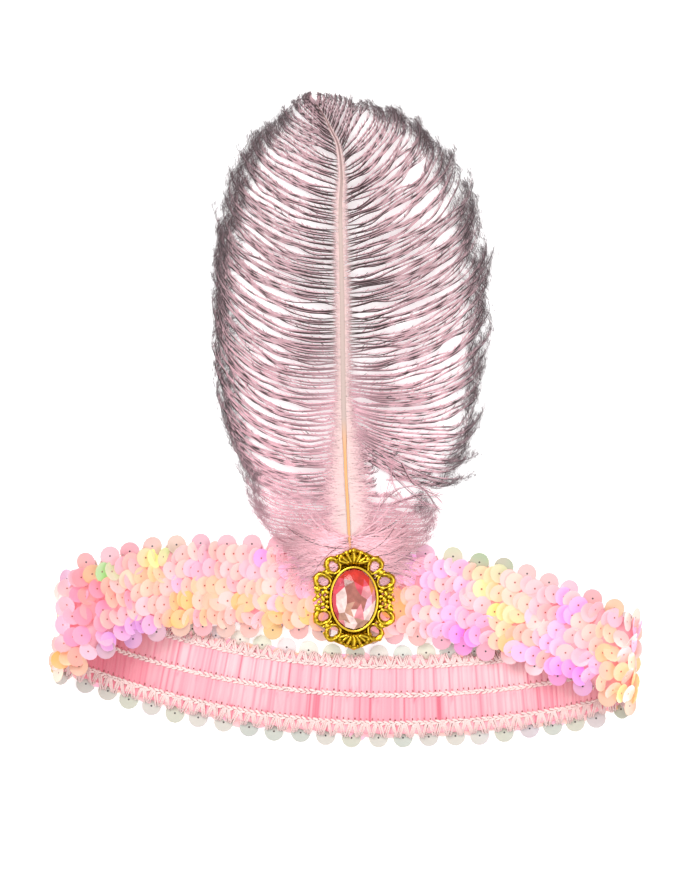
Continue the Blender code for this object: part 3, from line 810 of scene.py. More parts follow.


def film_material(name, film_nm, see_through, glow):
    """Glossy film that turns from its own colour to its flash where it is seen aslant."""
    made, nodes, links, shader = new_material(name, roughness=0.3)
    slant = nodes.new("ShaderNodeLayerWeight")
    slant.inputs["Blend"].default_value = 0.5
    aslant = map_range(nodes, links, slant.outputs["Facing"], {"From Min": 0.06, "From Max": 0.5})
    own, flash = point_colour(nodes, "tint"), point_colour(nodes, "flash")
    film = mix_colours(nodes, links, aslant, own, flash)
    # Painted light: the film glows by glow in its own colour, and its base colour is dimmed to make
    # room for it
    dimmed = scale_colour(nodes, links, film, 1 - 0.5 * glow)
    links.new(dimmed, shader.inputs["Base Color"])
    links.new(film, shader.inputs["Emission Color"])
    set_inputs(shader, {
        "Emission Strength": glow,
        "Coat Weight": 0.15,
        "Coat Roughness": 0.2,
        "Specular IOR Level": 0.35,
        "Thin Film Thickness": film_nm,
        "Thin Film IOR": 1.45,
        "Transmission Weight": see_through,
        "IOR": 1.4,
    })
    add_bump(nodes, links, shader, grain=420.0, detail=2.0, strength=0.15, distance=0.4 * MM)
    return made


def place_sequins(name, s, w, n, tilt_along, tilt_across, material, films, hole_shade, node):
    """Sequins at s, w, n, each tipped about the lines across and along the band."""
    template, faces, dark = sequin_template()
    centre = band.at(s, w, n)
    _, along, across, outward = band.frames(s)
    up = outward + np.tan(tilt_along)[:, None] * along
    up = unit(up + np.tan(tilt_across)[:, None] * unit(across))
    first = unit(along - (along * up).sum(-1, keepdims=True) * up)
    second = np.cross(up, first)
    spin = rng.uniform(0, 2 * math.pi, len(centre))[:, None]
    axis_a = np.cos(spin) * first + np.sin(spin) * second
    axis_b = np.cross(up, axis_a)
    axes = np.stack([axis_a, axis_b, up], 1) * MM
    placed = centre[:, None] + np.einsum("pk,nkj->npj", template, axes)
    placed[..., 2] = np.maximum(placed[..., 2], SEQUIN_CLEAR)
    plain, painted_glint = films
    # Painted glint: the flash colour grows across each disc from one side
    reach = rng.uniform(-0.2, 0.8, (len(centre), 1))
    share = clamp(reach + 1.1 * template[None, :, 0] / SEQUIN_RADIUS)[..., None]
    shown = between(plain[:, None], painted_glint[:, None], share)
    flashes = pick(FLASH_MIX, len(centre))[:, None] * 0.45 + shown * 0.55
    # Painted shade: the points round the hole take its dark colour
    layers = {
        layer_name: np.where(dark[None, :, None], hole_shade, colours).reshape(-1, 3)
        for layer_name, colours in (("tint", shown), ("flash", flashes))
    }
    all_faces = repeat_faces(faces, len(centre), len(template))
    made = add_mesh(name, placed.reshape(-1, 3), all_faces, material, layers)
    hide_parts(node)


SEQUIN_SEED = 13
ROW_LINES = (12.6, 6.3, 0.0, -6.3, -12.6)
ROW_PITCH = 3.95 * MM
# Painted shade seen in the rows' sequin holes
ROW_HOLE_SHADE = srgb(140, 92, 84)
UNDER_BROOCH = 20 * MM  # the sequins this near the brooch's middle are pressed flat
# How high the discs sit, in millimetres, and how far they tip, in radians, where they are
# pressed flat by the table or the brooch, on the loop's turns, and where they lie loose
HIGH_PRESSED, HIGH_TURNED, HIGH_LOOSE = 1.8, 1.75, 2.55
LEAN_PRESSED, LEAN_TURNED, LEAN_LOOSE = 0.17, 0.3, 0.52


def sequin_rows():
    """The five overlapping rows between the edges."""
    per_row = round(band.length / ROW_PITCH)
    s = np.concatenate([(np.arange(per_row) + 0.5 * (k % 2)) for k in range(len(ROW_LINES))])
    s = s / per_row * band.length + rng.normal(0, 0.65 * MM, len(s))
    w = np.repeat(ROW_LINES, per_row) * MM + rng.normal(0, 0.8 * MM, len(s))
    centre, _, across, outward = band.frames(s)
    by_brooch = np.abs(centre[:, 0] - (stone_low[0] + stone_high[0]) / 2) < UNDER_BROOCH
    pressed = band.is_back(s) | (by_brooch & (outward[:, 2] > 0))
    turned = np.abs(outward[:, 2]) < 0.75
    lean = rng.normal(0, 1, len(s)) * np.where(pressed, 0.03, 0.21)
    lean = lean + np.where(pressed, LEAN_PRESSED, LEAN_LOOSE)
    roll = rng.normal(0, 1, len(s)) * np.where(pressed, 0.05, 0.27)
    lean = np.where(turned, LEAN_TURNED + 0.3 * (lean - LEAN_LOOSE), lean)
    roll = np.where(turned, 0.4 * roll, roll)
    n = np.where(pressed, HIGH_PRESSED, np.where(turned, HIGH_TURNED, HIGH_LOOSE)) * MM
    n = n + rng.normal(0, 0.12 * MM, len(s))
    films = film_colours(centre + w[:, None] * across, outward[:, 2] > -0.85)
    material = film_material("sequin_film", film_nm=340.0, see_through=0.3, glow=FILM_PAINTED_GLOW)
    place_sequins(
        "sequin_rows", s, w, n, lean, roll, material, films, ROW_HOLE_SHADE, "sequin_field",
    )


EDGE_BACK_MIX = (
    ((220, 212, 202), 4),
    ((206, 206, 196), 3),
    ((212, 208, 192), 3),
    ((220, 206, 206), 2),
)
EDGE_FRONT_MIX = (
    ((214, 172, 178), 4),
    ((228, 164, 178), 2),
    ((208, 200, 180), 3),
    ((192, 204, 178), 2),
)


EDGE_HIGH = 1.45 * MM
# Painted shade seen in the edge sequins' holes
EDGE_HOLE_SHADE = srgb(52, 30, 30)
# Painted light on the upper row: its film glows a little, and its back sequins are brightened against
# the shade that the front band casts on them; it keeps its own colour
UPPER_PAINTED_GLOW = 0.06
UPPER_BACK_PAINTED_LIGHT = 1.2
LOWER_TINT = np.array([1.0, 0.9, 0.86])


def edge_sequins(name, side, node):
    """One row of clear sequins along an edge."""
    count = EDGE_COUNT
    s = np.arange(count) / count * band.length + rng.normal(0, 0.25 * MM, count)
    w = side * (EDGE_ROW_OFFSET + rng.normal(0, 0.3 * MM, count))
    pressed = band.is_back(s)
    wobble = np.where(pressed, 0.05, 0.12)
    lean = rng.normal(0, 1, count) * wobble
    roll = rng.normal(0, 1, count) * wobble
    n = EDGE_HIGH + rng.normal(0, 0.05 * MM, count)
    back, front = pick(EDGE_BACK_MIX, count), pick(EDGE_FRONT_MIX, count)
    if side > 0:
        # Painted light: the upper row glows, and its back sequins are brightened where the front band
        # shades them
        tint, glow = np.ones(3), UPPER_PAINTED_GLOW
        back = np.minimum(back * UPPER_BACK_PAINTED_LIGHT, 1.0)
    else:
        tint, glow = LOWER_TINT, 0.0
    films = [
        np.where(pressed[:, None], back, between(front, bright * tint, 0.65))
        for bright in film_colours(band.at(s, w, n), ~pressed)
    ]
    material = film_material(name + "_film", film_nm=420.0, see_through=0.2, glow=glow)
    place_sequins(name, s, w, n, lean, roll, material, films, EDGE_HOLE_SHADE, node)


# The plume

BARB_STEPS = 48
BARBS_PER_SIDE = 188
TIP_CURL = 58.0  # degrees that a barb's last part turns inwards
CURL_FROM = 0.72

BARB_LOW = srgb(250, 199, 211)
BARB_HIGH = srgb(220, 182, 189)
BARB_OUTER = srgb(138, 108, 114)
BARB_TIP = srgb(66, 57, 60)
RIB_INNER = srgb(62, 36, 38)
RIB_OUTER = srgb(52, 40, 43)
FLUFF_PINK = srgb(255, 206, 215)
FUZZ_PEACH = srgb(226, 201, 197)

DOWN_PAINTED_GLOW = 0.09  # painted light: the down glows in its own colour, standing in for the light that it lets through and lifting its self-shading
PLUME = soft_material("plume_barbs", roughness=0.8, sheen=0.25, grain=1800.0, depth=0.2 * MM)
DOWN = soft_material(
    "plume_down", roughness=0.9, sheen=0.3, grain=1500.0, depth=0.2 * MM, glow=DOWN_PAINTED_GLOW,
)
FLOOR_CLEAR = 0.25  # the least that a barb's middle lies above the table, in millimetres


def shaft_at(y):
    """The quill's middle x and z, its width and height at each y, all in millimetres."""
    rows = np.array(SHAFT_ROUTE, float)
    padded = np.concatenate([rows[:1], rows, rows[-1:]])
    t = np.linspace(0, 1, 12, endpoint=False)[:, None]
    fine = [catmull_rom(*padded[k : k + 4], t) for k in range(len(rows) - 1)]
    fine = np.concatenate(fine + [rows[-1:]])
    return [np.interp(y, fine[:, 1], fine[:, k]) for k in (0, 2, 3, 4)]


def lock_middles(roots, low, high):
    """For each barb the middle of the lock of low to high neighbours that it leans to."""
    sizes = []
    while sum(sizes) < len(roots):
        sizes.append(int(rng.integers(low, high + 1)))
    labels = np.repeat(np.arange(len(sizes)), sizes)[: len(roots)]
    middles = np.array([roots[labels == label].mean() for label in range(labels.max() + 1)])
    return middles[labels], labels


def for_each_lock(labels, draw, *limits):
    """One value drawn for every lock, handed to all of its barbs."""
    return draw(*limits, labels.max() + 1)[labels]


# The lens-shaped gaps between barbs: the heights of the roots beside them, half lengths
# and half widths in millimetres, and how often one is wider
EYE_HEIGHTS = (-34, 112)
EYE_REACHES = (3.0, 10.0)
EYE_WIDTHS = (0.3, 0.9)
EYE_PLACES = (0.1, 0.86)  # as a share of the barb's length
WIDER_EYE = 2.3
WIDER_EYES = 0.2
EYE_FADE = 1.7  # how fast the gap's push dies away over the barbs beside it


def eye_steps(roots, lengths, done, eyes):
    """How far each barb steps aside, along its length, for the gaps between locks."""
    step = np.zeros((len(roots), len(done)))
    for _ in range(eyes):
        away = roots - rng.uniform(*EYE_HEIGHTS)
        reach = rng.uniform(*EYE_REACHES) / np.interp(0, away, lengths)
        wide = rng.uniform(*EYE_WIDTHS) * min(1.0, reach * 13)
        wide = wide * rng.choice([1.0, WIDER_EYE], p=[1 - WIDER_EYES, WIDER_EYES])
        apart = np.sign(away) * np.exp(-np.abs(away) / EYE_FADE)
        step += wide * apart[:, None] * bump(done, rng.uniform(*EYE_PLACES), reach)
    return step


def upper_side(course, side):
    """The level direction square to a barb, towards the plume's tip."""
    return side * np.stack([-course[..., 1], course[..., 0], 0 * course[..., 0]], -1)


def barb_roots(crowding):
    """Heights of the barbs' roots, closer together where the crowding is greater."""
    fine = np.linspace(VANE_LOW, VANE_HIGH, 600)
    reached = np.cumsum(read_off(fine, crowding))
    shares = np.linspace(reached[0], reached[-1], BARBS_PER_SIDE)
    return np.sort(np.interp(shares, reached, fine) + rng.normal(0, 0.3, BARBS_PER_SIDE))


def barb_courses(side, table, roots, far_labels, done):
    """Where the barbs run before they draw together, and how long they are."""
    rows = np.array(table, float)
    heading, tip_heading, length, tip_z = (
        np.interp(roots, rows[:, 0], rows[:, k])[:, None] for k in (1, 2, 3, 4)
    )
    length = length * rng.normal(0.99, 0.03, len(roots))[:, None]
    x, z, width, _ = (value[:, None] for value in shaft_at(roots))
    share = (np.arange(BARB_STEPS) + 0.5) / BARB_STEPS
    curl = TIP_CURL * rng.uniform(0.3, 1.6, len(roots))[:, None]
    sway = for_each_lock(far_labels, rng.normal, 0, 4.0)
    sway = (sway + rng.normal(0, 3.0, len(roots)))[:, None]
    angle = heading + (tip_heading - heading) * share + sway * share**2
    angle = np.radians(angle - curl * clamp((share - CURL_FROM) / (1 - CURL_FROM)) ** 1.5)
    stride = length / BARB_STEPS
    run_x = np.concatenate([0 * x, np.cumsum(side * np.sin(angle) * stride, 1)], 1)
    run_y = np.concatenate([0 * x, np.cumsum(np.cos(angle) * stride, 1)], 1)
    drop = z + (np.maximum(tip_z, 0.7) - z) * done * done * (3 - 2 * done)
    lines = np.stack([x + side * width * 0.42 + run_x, roots[:, None] + run_y, drop], -1)
    return lines, length[:, 0]


# How strongly the locks draw together, by height on the quill
LOCK_PULL = ((-57, 0.3), (0, 0.4), (60, 0.55), (128, 0.6))


def lock_steps(roots, pairs, near, far, done):
    """How far each barb steps aside, along its length, towards its neighbours."""
    (near_middles, near_labels), (far_middles, far_labels) = near, far
    pair_middles, pair_labels = pairs
    scale = read_off(roots, LOCK_PULL)
    near_pull = scale * for_each_lock(near_labels, rng.uniform, 0.15, 0.75)
    near_at = for_each_lock(near_labels, rng.uniform, 0.35, 0.6)[:, None]
    far_pull = scale * for_each_lock(far_labels, rng.uniform, 0.1, 0.6)
    near_step = ((near_middles - roots) * near_pull)[:, None] * bump(done, near_at, 0.26)
    far_step = ((far_middles - roots) * far_pull)[:, None] * bump(done, 0.88, 0.22)
    pair_pull = for_each_lock(pair_labels, rng.uniform, 0.4, 1.0)
    turns = for_each_lock(pair_labels, rng.uniform, 0.5, 2.5)[:, None] * done
    turns = turns + for_each_lock(pair_labels, rng.random)[:, None]
    swing = 0.7 + 0.3 * np.sin(2 * math.pi * turns)
    return ((pair_middles - roots) * pair_pull)[:, None] * swing + near_step + far_step


def barb_lines(side, table, crowding, eyes):
    """The middle lines of one side's barbs, parted into locks, in millimetres before centring."""
    roots = barb_roots(crowding)
    pairs, near, far = (lock_middles(roots, *sizes) for sizes in ((2, 2), (2, 6), (3, 8)))
    done = np.linspace(0, 1, BARB_STEPS + 1)
    lines, lengths = barb_courses(side, table, roots, far[1], done)
    course = unit(np.gradient(lines, axis=1))
    step = lock_steps(roots, pairs, near, far, done) + eye_steps(roots, lengths, done, eyes)
    step = step * clamp(done / 0.08)
    return lines + upper_side(course, side) * step[..., None], roots, lengths


def follow(lines, side, owner, where, lane):
    """Points a share of the way along their owners' lines and lane to the upper side."""
    at = clamp(where) * BARB_STEPS
    low = np.minimum(at.astype(int), BARB_STEPS - 1)
    part = (at - low)[..., None]
    here, ahead = lines[owner[:, None], low], lines[owner[:, None], low + 1]
    course = unit(ahead - here)
    upper = upper_side(course, side)
    return here * (1 - part) + ahead * part + upper * lane[..., None], course, upper


def raise_paths(paths, lift):
    """Lifts paths in place, and keeps them clear of the table."""
    paths[..., 2] = np.maximum(paths[..., 2] + lift, FLOOR_CLEAR)


def plume_strands(paths, radii, colours):
    """Strands given in millimetres before centring, as a mesh in the row's frame."""
    return strand_mesh(paths * MM + SHIFT, radii * MM, colours)


def barb_colour(where, height, tone):
    """The barbs' pink: warmer low on the plume, greyer and darker at the tips."""
    where, height, tone = np.broadcast_arrays(where, height, tone)
    body = between(BARB_LOW, BARB_HIGH, clamp((height + 57) / 110)[..., None])
    body = between(body, BARB_OUTER, 0.3 * clamp((height - 100) / 20)[..., None])
    plain = np.clip((height + 58) / 24, 0.35, 1)[..., None]
    colour = between(body, BARB_OUTER, 0.75 * clamp((where - 0.7) / 0.24)[..., None] * plain)
    colour = between(colour, BARB_TIP, 0.8 * clamp((where - 0.86) / 0.14)[..., None] * plain)
    inner = 0.24 * np.exp(-where / 0.13) * clamp((height - 10) / 40)
    return colour * (1 + 0.09 * tone - inner)[..., None]


RIB_POINTS = 41
RIB_FADES = (5, 9)  # how often a rib fades out along its barb


def rib_strands(lines, roots, side):
    """The dark rib of every barb, which dips in and out of its bundle."""
    owner = np.arange(len(lines))
    where = np.broadcast_to(np.linspace(0.015, 1, RIB_POINTS), (len(lines), RIB_POINTS))
    wave = 0.1 * np.sin(where * 2 * math.pi * rng.uniform(2, 5, (len(lines), 1)))
    paths, _, _ = follow(lines, side, owner, where, -0.25 + wave)
    turns = rng.uniform(*RIB_FADES, (len(lines), 1)) * where + rng.random((len(lines), 1))
    dip = clamp((where - 0.2) / 0.15) * (0.5 + 0.5 * np.sin(2 * math.pi * turns))
    raise_paths(paths, 0.3 - 0.65 * dip)
    radii = (0.27 - 0.13 * dip) * np.minimum(1, 3.5 * (1 - where) + 0.2)
    stops = [0, 0.05, 0.5, 1]
    colours = ramp(where, stops, [FUZZ_PEACH, RIB_INNER, RIB_INNER, RIB_OUTER])
    soft = np.clip((-14 - roots) / 28, 0, 0.85)[:, None]
    inner = bump(where, 0, 0.2) * np.clip((34 - roots) / 30, 0, 0.9)[:, None]
    colours = between(colours, BARB_LOW, np.maximum(soft, inner)[..., None])
    faded = (0.9 * clamp(1.6 * dip - 0.3))[..., None]
    colours = between(colours, barb_colour(where, roots[:, None], 0), faded)
    return plume_strands(paths, radii, colours)


BUNDLE = 5
BUNDLE_POINTS = 12


def bundle_strands(lines, roots, lengths, side):
    """The pink strands that lie side by side along every barb."""
    owner = np.repeat(np.arange(len(lines)), BUNDLE)
    count = len(owner)
    slim = np.clip(lengths[owner] / 26, 0.5, 1)[:, None]
    steps = np.linspace(0, 1, BUNDLE_POINTS)
    first = rng.uniform(0, 0.45, count)[:, None] ** 1.3
    last = np.minimum(first + rng.uniform(0.35, 0.9, count)[:, None], 1.0)
    first[::BUNDLE], last[::BUNDLE] = 0.0, 1.0
    where = first + (last - first) * steps
    fluffy = 1 + np.clip((-8 - roots[owner]) / 24, 0, 1.1)[:, None]
    girth = slim * fluffy * (0.18 + 0.2 * np.sin(math.pi * clamp(where) ** 0.8))
    lane_start = rng.uniform(-0.8, 1.1, count)[:, None]
    lane_turn = rng.normal(0, 0.5, count)[:, None]
    wave = 0.22 * np.sin(2 * math.pi * steps * rng.uniform(0.6, 2.4, count)[:, None])
    lane = (lane_start + lane_turn * steps**1.5 + wave) * girth
    paths, _, _ = follow(lines, side, owner, where, lane)
    raise_paths(paths, rng.uniform(-0.35, 0.3, count)[:, None])
    taper = np.minimum(1, 4 * (1 - steps) + 0.12) * np.minimum(1, 0.35 + 5 * steps)
    radii = rng.uniform(0.13, 0.2, count)[:, None] * taper * (1 - 0.3 * where) * slim
    tone = rng.normal(0, 1, count)[:, None]
    return plume_strands(paths, radii, barb_colour(where, roots[owner][:, None], tone))


# Short tufts: lengths and radii in millimetres, their tone, and the share that is dark
BRIDGE_LOOK = ((1.4, 2.3), (0.15, 0.25), 0.0, 0.05)
BARBULE_LOOK = ((0.8, 1.9), (0.08, 0.13), -0.5, 0.4)
DARK_TUFTS_FROM = -20  # no dark ones below this height on the quill
BRIDGES = 15
BARBULES = 6


def tuft_strands(lines, roots, side, owner, where, sign, look):
    """Short straight tufts from places on the barbs towards their neighbours."""
    lengths, radii, tone_middle, dark_share = look
    count = len(owner)
    reach = rng.uniform(*lengths, count)[:, None, None]
    thick = rng.uniform(*radii, count)[:, None]
    start, course, upper = follow(lines, side, owner, where, np.zeros((count, 1)))
    end = start + reach * (0.82 * course + 0.57 * sign[:, None, None] * upper)
    paths = np.concatenate([start, end], 1)
    raise_paths(paths, rng.uniform(-0.25, 0.2, count)[:, None])
    tone = rng.normal(tone_middle, 1, count)[:, None]
    colours = barb_colour(where + np.zeros(2), roots[owner][:, None], tone)
    dark = (rng.random(count) < dark_share) & (roots[owner] > DARK_TUFTS_FROM)
    colours = np.where(dark[:, None, None], RIB_INNER * 1.3, colours)
    return plume_strands(paths, thick * [1, 0.55], colours)


def bridge_strands(lines, roots, side):
    """Pink tufts, evenly spaced along each barb, that bridge the gap to the barb above."""
    owner = np.repeat(np.arange(len(lines)), BRIDGES)
    count = len(owner)
    place = np.tile(np.arange(BRIDGES), len(lines)) + rng.random(len(lines))[owner]
    where = (0.06 + 0.9 * place / BRIDGES + rng.normal(0, 0.006, count))[:, None]
    return tuft_strands(lines, roots, side, owner, where, np.ones(count), BRIDGE_LOOK)


def barbule_strands(lines, roots, side):
    """Fine dark and pink hairs at uneven places along the barbs."""
    owner = np.repeat(np.arange(len(lines)), BARBULES)
    count = len(owner)
    where = rng.uniform(0.05, 0.95, count)[:, None]
    sign = rng.choice([-1.0, 1.0], count)
    return tuft_strands(lines, roots, side, owner, where, sign, BARBULE_LOOK)


def curling(start, heading, side, length, curl, rise, count):
    """Paths in millimetres that set off at a heading in degrees and turn by curl on their way."""
    share = (np.arange(count) + 0.5) / count
    angle = np.radians(heading[:, None] + curl[:, None] * share)
    ahead = np.stack([np.reshape(side, (-1, 1)) * np.sin(angle), np.cos(angle)], -1)
    steps = np.zeros((len(start), count, 3))
    steps[..., :2] = ahead * (length / count)[:, None, None]
    steps[..., 2] = (rise / count)[:, None]
    start = start[:, None]
    return np.concatenate([start, start + np.cumsum(steps, 1)], 1)


FRINGE_FROM = 22.0  # barbs shorter than this have no haze of their own
FRINGE_HAIRS = 60
CROWN_HAIRS = 24  # on the short barbs over CROWN_FROM
CROWN_FROM = 100
FOOT_HAIRS = 12  # on the barbs below FOOT_TO
FOOT_TO = -42


def fringe_strands(lines, roots, lengths, side):
    """The soft dark haze of fine hairs round the tips."""
    hairs = np.where(roots > CROWN_FROM, CROWN_HAIRS, 0)
    hairs = np.where(lengths > FRINGE_FROM, FRINGE_HAIRS, hairs)
    hairs = np.where(roots < FOOT_TO, FOOT_HAIRS, hairs)
    owner = np.repeat(np.arange(len(lines)), hairs)
    count = len(owner)
    short = np.clip(lengths[owner] / 40, 0.35, 1)
    where = rng.uniform(0.5, 1.0, count)[:, None] ** 0.36
    lane = rng.normal(0, 1.1, count) * short
    start, course, _ = follow(lines, side, owner, where, lane[:, None])
    heading = np.degrees(np.arctan2(side * course[:, 0, 0], course[:, 0, 1]))
    heading = heading + rng.normal(2, 17, count)
    length = rng.uniform(0.9, 3.6, count) * short
    curl = rng.normal(-40, 30, count)
    rise = rng.uniform(-0.2, 0.6, count)
    paths = curling(start[:, 0], heading, side, length, curl, rise, 1)
    raise_paths(paths, 0)
    radii = rng.uniform(0.055, 0.09, count)[:, None] * [1, 0.35]
    tone = rng.uniform(0.0, 1.0, (count, 1, 1))
    soft = np.clip((-30 - roots[owner]) / 16, 0, 0.7)[:, None, None]
    colours = between(between(BARB_TIP, BARB_OUTER * 0.85, tone), BARB_LOW, soft)
    return plume_strands(paths, radii, np.broadcast_to(colours, paths.shape))


# The down along the quill, by height: its heading in degrees and its share of full length
FUZZ_HAIRS = 2300
FUZZ_HEADING = ((-60, 102), (60, 88), (123, 40))
FUZZ_REACH = ((-60, 1.0), (90, 1.0), (123, 0.3))


def shaft_fuzz(side):
    """Short pale down that hides the quill's sides, longer near its foot."""
    y = -60 + 183 * rng.random(FUZZ_HAIRS) ** 1.25
    x, z, width, height = shaft_at(y)
    low_down = clamp((12 - y) / 40)
    start = np.stack([x + side * width * 0.3, y, z + height * 0.35], 1)
    heading = read_off(y, FUZZ_HEADING) + rng.normal(0, 14, len(y))
    length = rng.uniform(1.0, 3.4, len(y)) * read_off(y, FUZZ_REACH)
    length = length + low_down * rng.uniform(2.0, 8.5, len(y))
    curl = rng.normal(-10, 25, len(y))
    paths = curling(start, heading, side, length, curl, rng.uniform(-0.9, 0.1, len(y)), 2)
    radii = rng.uniform(0.13, 0.19, len(y))[:, None] * [1, 0.9, 0.4]
    radii = radii * (1 + 0.7 * low_down[:, None])
    end = between(BARB_HIGH, BARB_LOW * 0.9, low_down[:, None, None])
    colours = between(FUZZ_PEACH, end, np.array([0.0, 0.3, 0.9])[:, None])
    colours = colours * rng.uniform(0.95, 1.03, (len(y), 1, 1))
    return plume_strands(paths, radii, colours)


# The loose down at the foot, by height: its heading in degrees and its longest reach
FLUFF_HAIRS = 1700
FLUFF_HEADING = ((-66, 112), (-55, 100), (-45, 88))
FLUFF_REACH = ((-66, 9), (-60, 19), (-55, 30), (-45, 33))
FLUFF_TAPER = (0.8, 1, 1, 0.9, 0.65, 0.35)
BAND_TOP = 6.3
DARK_FLUFF = 0.035


def base_fluff():
    """The loose pink down at the plume's foot, spread over the top of the band."""
    side = rng.choice([-1.0, 1.0], FLUFF_HAIRS)
    y = rng.uniform(-66, -45, FLUFF_HAIRS)
    x, _, _, _ = shaft_at(y)
    out = np.abs(rng.normal(0, 7, FLUFF_HAIRS))
    high = BAND_TOP + rng.uniform(0, 1.1, len(y))
    start = np.stack([x + side * out, y - 0.08 * out, high], 1)
    heading = read_off(y, FLUFF_HEADING) + rng.normal(0, 13, len(y))
    limit = read_off(y, FLUFF_REACH)
    length = np.maximum(limit * rng.uniform(0.5, 1.0, len(y)) - out * 0.8, 3.0)
    curl = rng.normal(-14, 34, len(y))
    bends = len(FLUFF_TAPER) - 1
    paths = curling(start, heading, side, length, curl, rng.uniform(-0.4, 1.1, len(y)), bends)
    radii = rng.uniform(0.11, 0.2, len(y))[:, None] * FLUFF_TAPER
    dark = (rng.random(len(y)) < DARK_FLUFF)[:, None, None]
    fade = np.linspace(0, 1, len(FLUFF_TAPER))[:, None] ** 3
    colours = np.where(dark, RIB_INNER, between(FLUFF_PINK, BARB_OUTER, 0.5 * fade))
    colours = colours * rng.uniform(0.94, 1.04, (len(y), 1, 1))
    points, faces, tints = plume_strands(paths, radii, colours)
    add_mesh("plume_base_fluff", points, faces, DOWN, {"tint": tints})


# Loose strands that cross the ragged hole low on the right, in millimetres before centring
STRAYS = (
    ((8.5, -8.9), (16.6, -13.8), (30.8, -21.1), (38.9, -23.1)),
    ((13.4, -9.7), (17.4, -17.8), (14.6, -30.0), (12.6, -35.2)),
    ((14.6, -23.1), (24.7, -23.9), (34.8, -30.0), (37.7, -33.0)),
    ((16.6, -33.2), (27.5, -29.2), (33.2, -29.6), (38.9, -27.9)),
    ((9.3, -13.0), (14.2, -15.4), (20.3, -23.5), (31.6, -33.6)),
    ((12.2, -33.2), (18.6, -27.1), (26.3, -25.5), (37.3, -29.2)),
    ((18.2, -15.0), (17.0, -21.9), (19.4, -28.3), (25.9, -35.6)),
    ((21.1, -16.2), (25.5, -24.3), (30.0, -26.7), (36.9, -36.5)),
    ((14.2, -28.3), (22.3, -32.0), (31.2, -32.8), (38.1, -35.2)),
)
STRAY_COPIES = 5
STRAY_BENDS = 5  # points to each part of a strand
STRAY_HEIGHT = ((-36, 4.6), (-9, 3.4))
DARK_STRAYS = 0.3


def stray_strands():
    """A few loose barbs that cross the hole on the right."""
    paths = []
    for points in np.array(STRAYS, float):
        padded = [points[0], *points, points[-1]]
        fine = [
            catmull_rom(*padded[k : k + 4], bend / STRAY_BENDS)
            for k in range(len(points) - 1)
            for bend in range(STRAY_BENDS)
        ]
        paths.append(fine + [points[-1]])
    paths = np.repeat(np.array(paths), STRAY_COPIES, axis=0)
    count, steps = paths.shape[:2]
    drift = rng.normal(0, 0.35, (count, 1, 2)) + np.cumsum(rng.normal(0, 0.09, paths.shape), 1)
    height = read_off(paths[..., 1], STRAY_HEIGHT) + rng.normal(0, 0.25, (count, 1))
    paths = np.concatenate([paths + drift, height[..., None]], -1)
    taper = np.minimum(1, 0.4 + 3 * (1 - np.linspace(0, 1, steps)))
    radii = rng.uniform(0.08, 0.15, (count, 1)) * taper
    dark = rng.random((count, 1, 1)) < DARK_STRAYS
    colours = np.where(dark, RIB_INNER, BARB_LOW * 0.85) + np.zeros(paths.shape)
    return plume_strands(paths, radii, colours)


def plume():
    """Both sides of the plume, their haze, the down along the quill and at its foot."""
    sides = (
        # name, side, table, crowding, gaps between the barbs, node, seed
        ("left", -1, VANE_LEFT, ROOTS_LEFT, 165, "feather_vane_left", 21),
        ("right", 1, VANE_RIGHT, ROOTS_RIGHT, 240, "feather_vane_right", 22),
    )
    for name, side, table, crowding, eyes, node, seed in sides:
        deal(seed)
        lines, roots, lengths = barb_lines(side, table, crowding, eyes)
        parts = [
            rib_strands(lines, roots, side),
            bundle_strands(lines, roots, lengths, side),
            bridge_strands(lines, roots, side),
            barbule_strands(lines, roots, side),
        ]
        if side > 0:
            parts.append(stray_strands())
        points, faces, tints = join(parts)
        barbs = add_mesh("plume_" + name, points, faces, PLUME, {"tint": tints})
        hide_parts(node)
        points, faces, tints = fringe_strands(lines, roots, lengths, side)
        add_mesh("plume_haze_" + name, points, faces, PLUME, {"tint": tints})
    deal(23)
    points, faces, tints = join([shaft_fuzz(-1), shaft_fuzz(1)])
    add_mesh("quill_down", points, faces, DOWN, {"tint": tints})
    base_fluff()


QUILL_SIDES = 12
QUILL_RINGS = 110
QUILL_HORN, QUILL_FOOT, QUILL_TIP = srgb(192, 170, 163), srgb(236, 174, 118), srgb(140, 108, 108)


def quill():
    """The pale quill, bare and orange near its foot."""
    y = np.linspace(SHAFT_ROUTE[0][1], SHAFT_ROUTE[-1][1] - 0.1, QUILL_RINGS)[:, None]
    x, z, width, height = shaft_at(y)
    turns = round_turn(QUILL_SIDES)
    groove = 1 - 0.22 * bump(turns, math.pi / 2, 0.5)
    bare = clamp((2 - y) / 14)
    width = width * (0.85 - 0.45 * bare)
    rings = np.stack(np.broadcast_arrays(
        x + width / 2 * np.cos(turns),
        y,
        z + 0.5 * bare + height / 2 * np.sin(turns) * groove,
    ), -1)
    faces = grid_faces(QUILL_RINGS, QUILL_SIDES, wrap_columns=True)
    colour = between(between(QUILL_HORN, QUILL_FOOT, bare), QUILL_TIP, clamp((y - 80) / 36))
    colour = np.repeat(colour, QUILL_SIDES, axis=0)
    material = soft_material("quill_horn", roughness=0.5, sheen=0.0, grain=700.0, depth=0.3 * MM)
    points = rings.reshape(-1, 3) * MM + SHIFT
    piece = add_mesh("quill", points, faces, material, {"tint": colour})
    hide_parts("feather_shaft")


# The brooch

BROOCH = np.array([*((stone_low + stone_high)[:2] / 2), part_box("brooch_setting")[0][2]])
QUARTERS = ((1, 1), (-1, 1), (-1, -1), (1, -1))
BROOCH_CLEAR = 0.12  # the least that the casting lies above its own foot
VOXEL = 0.22  # the grain, in millimetres, to which the casting's shapes are run together


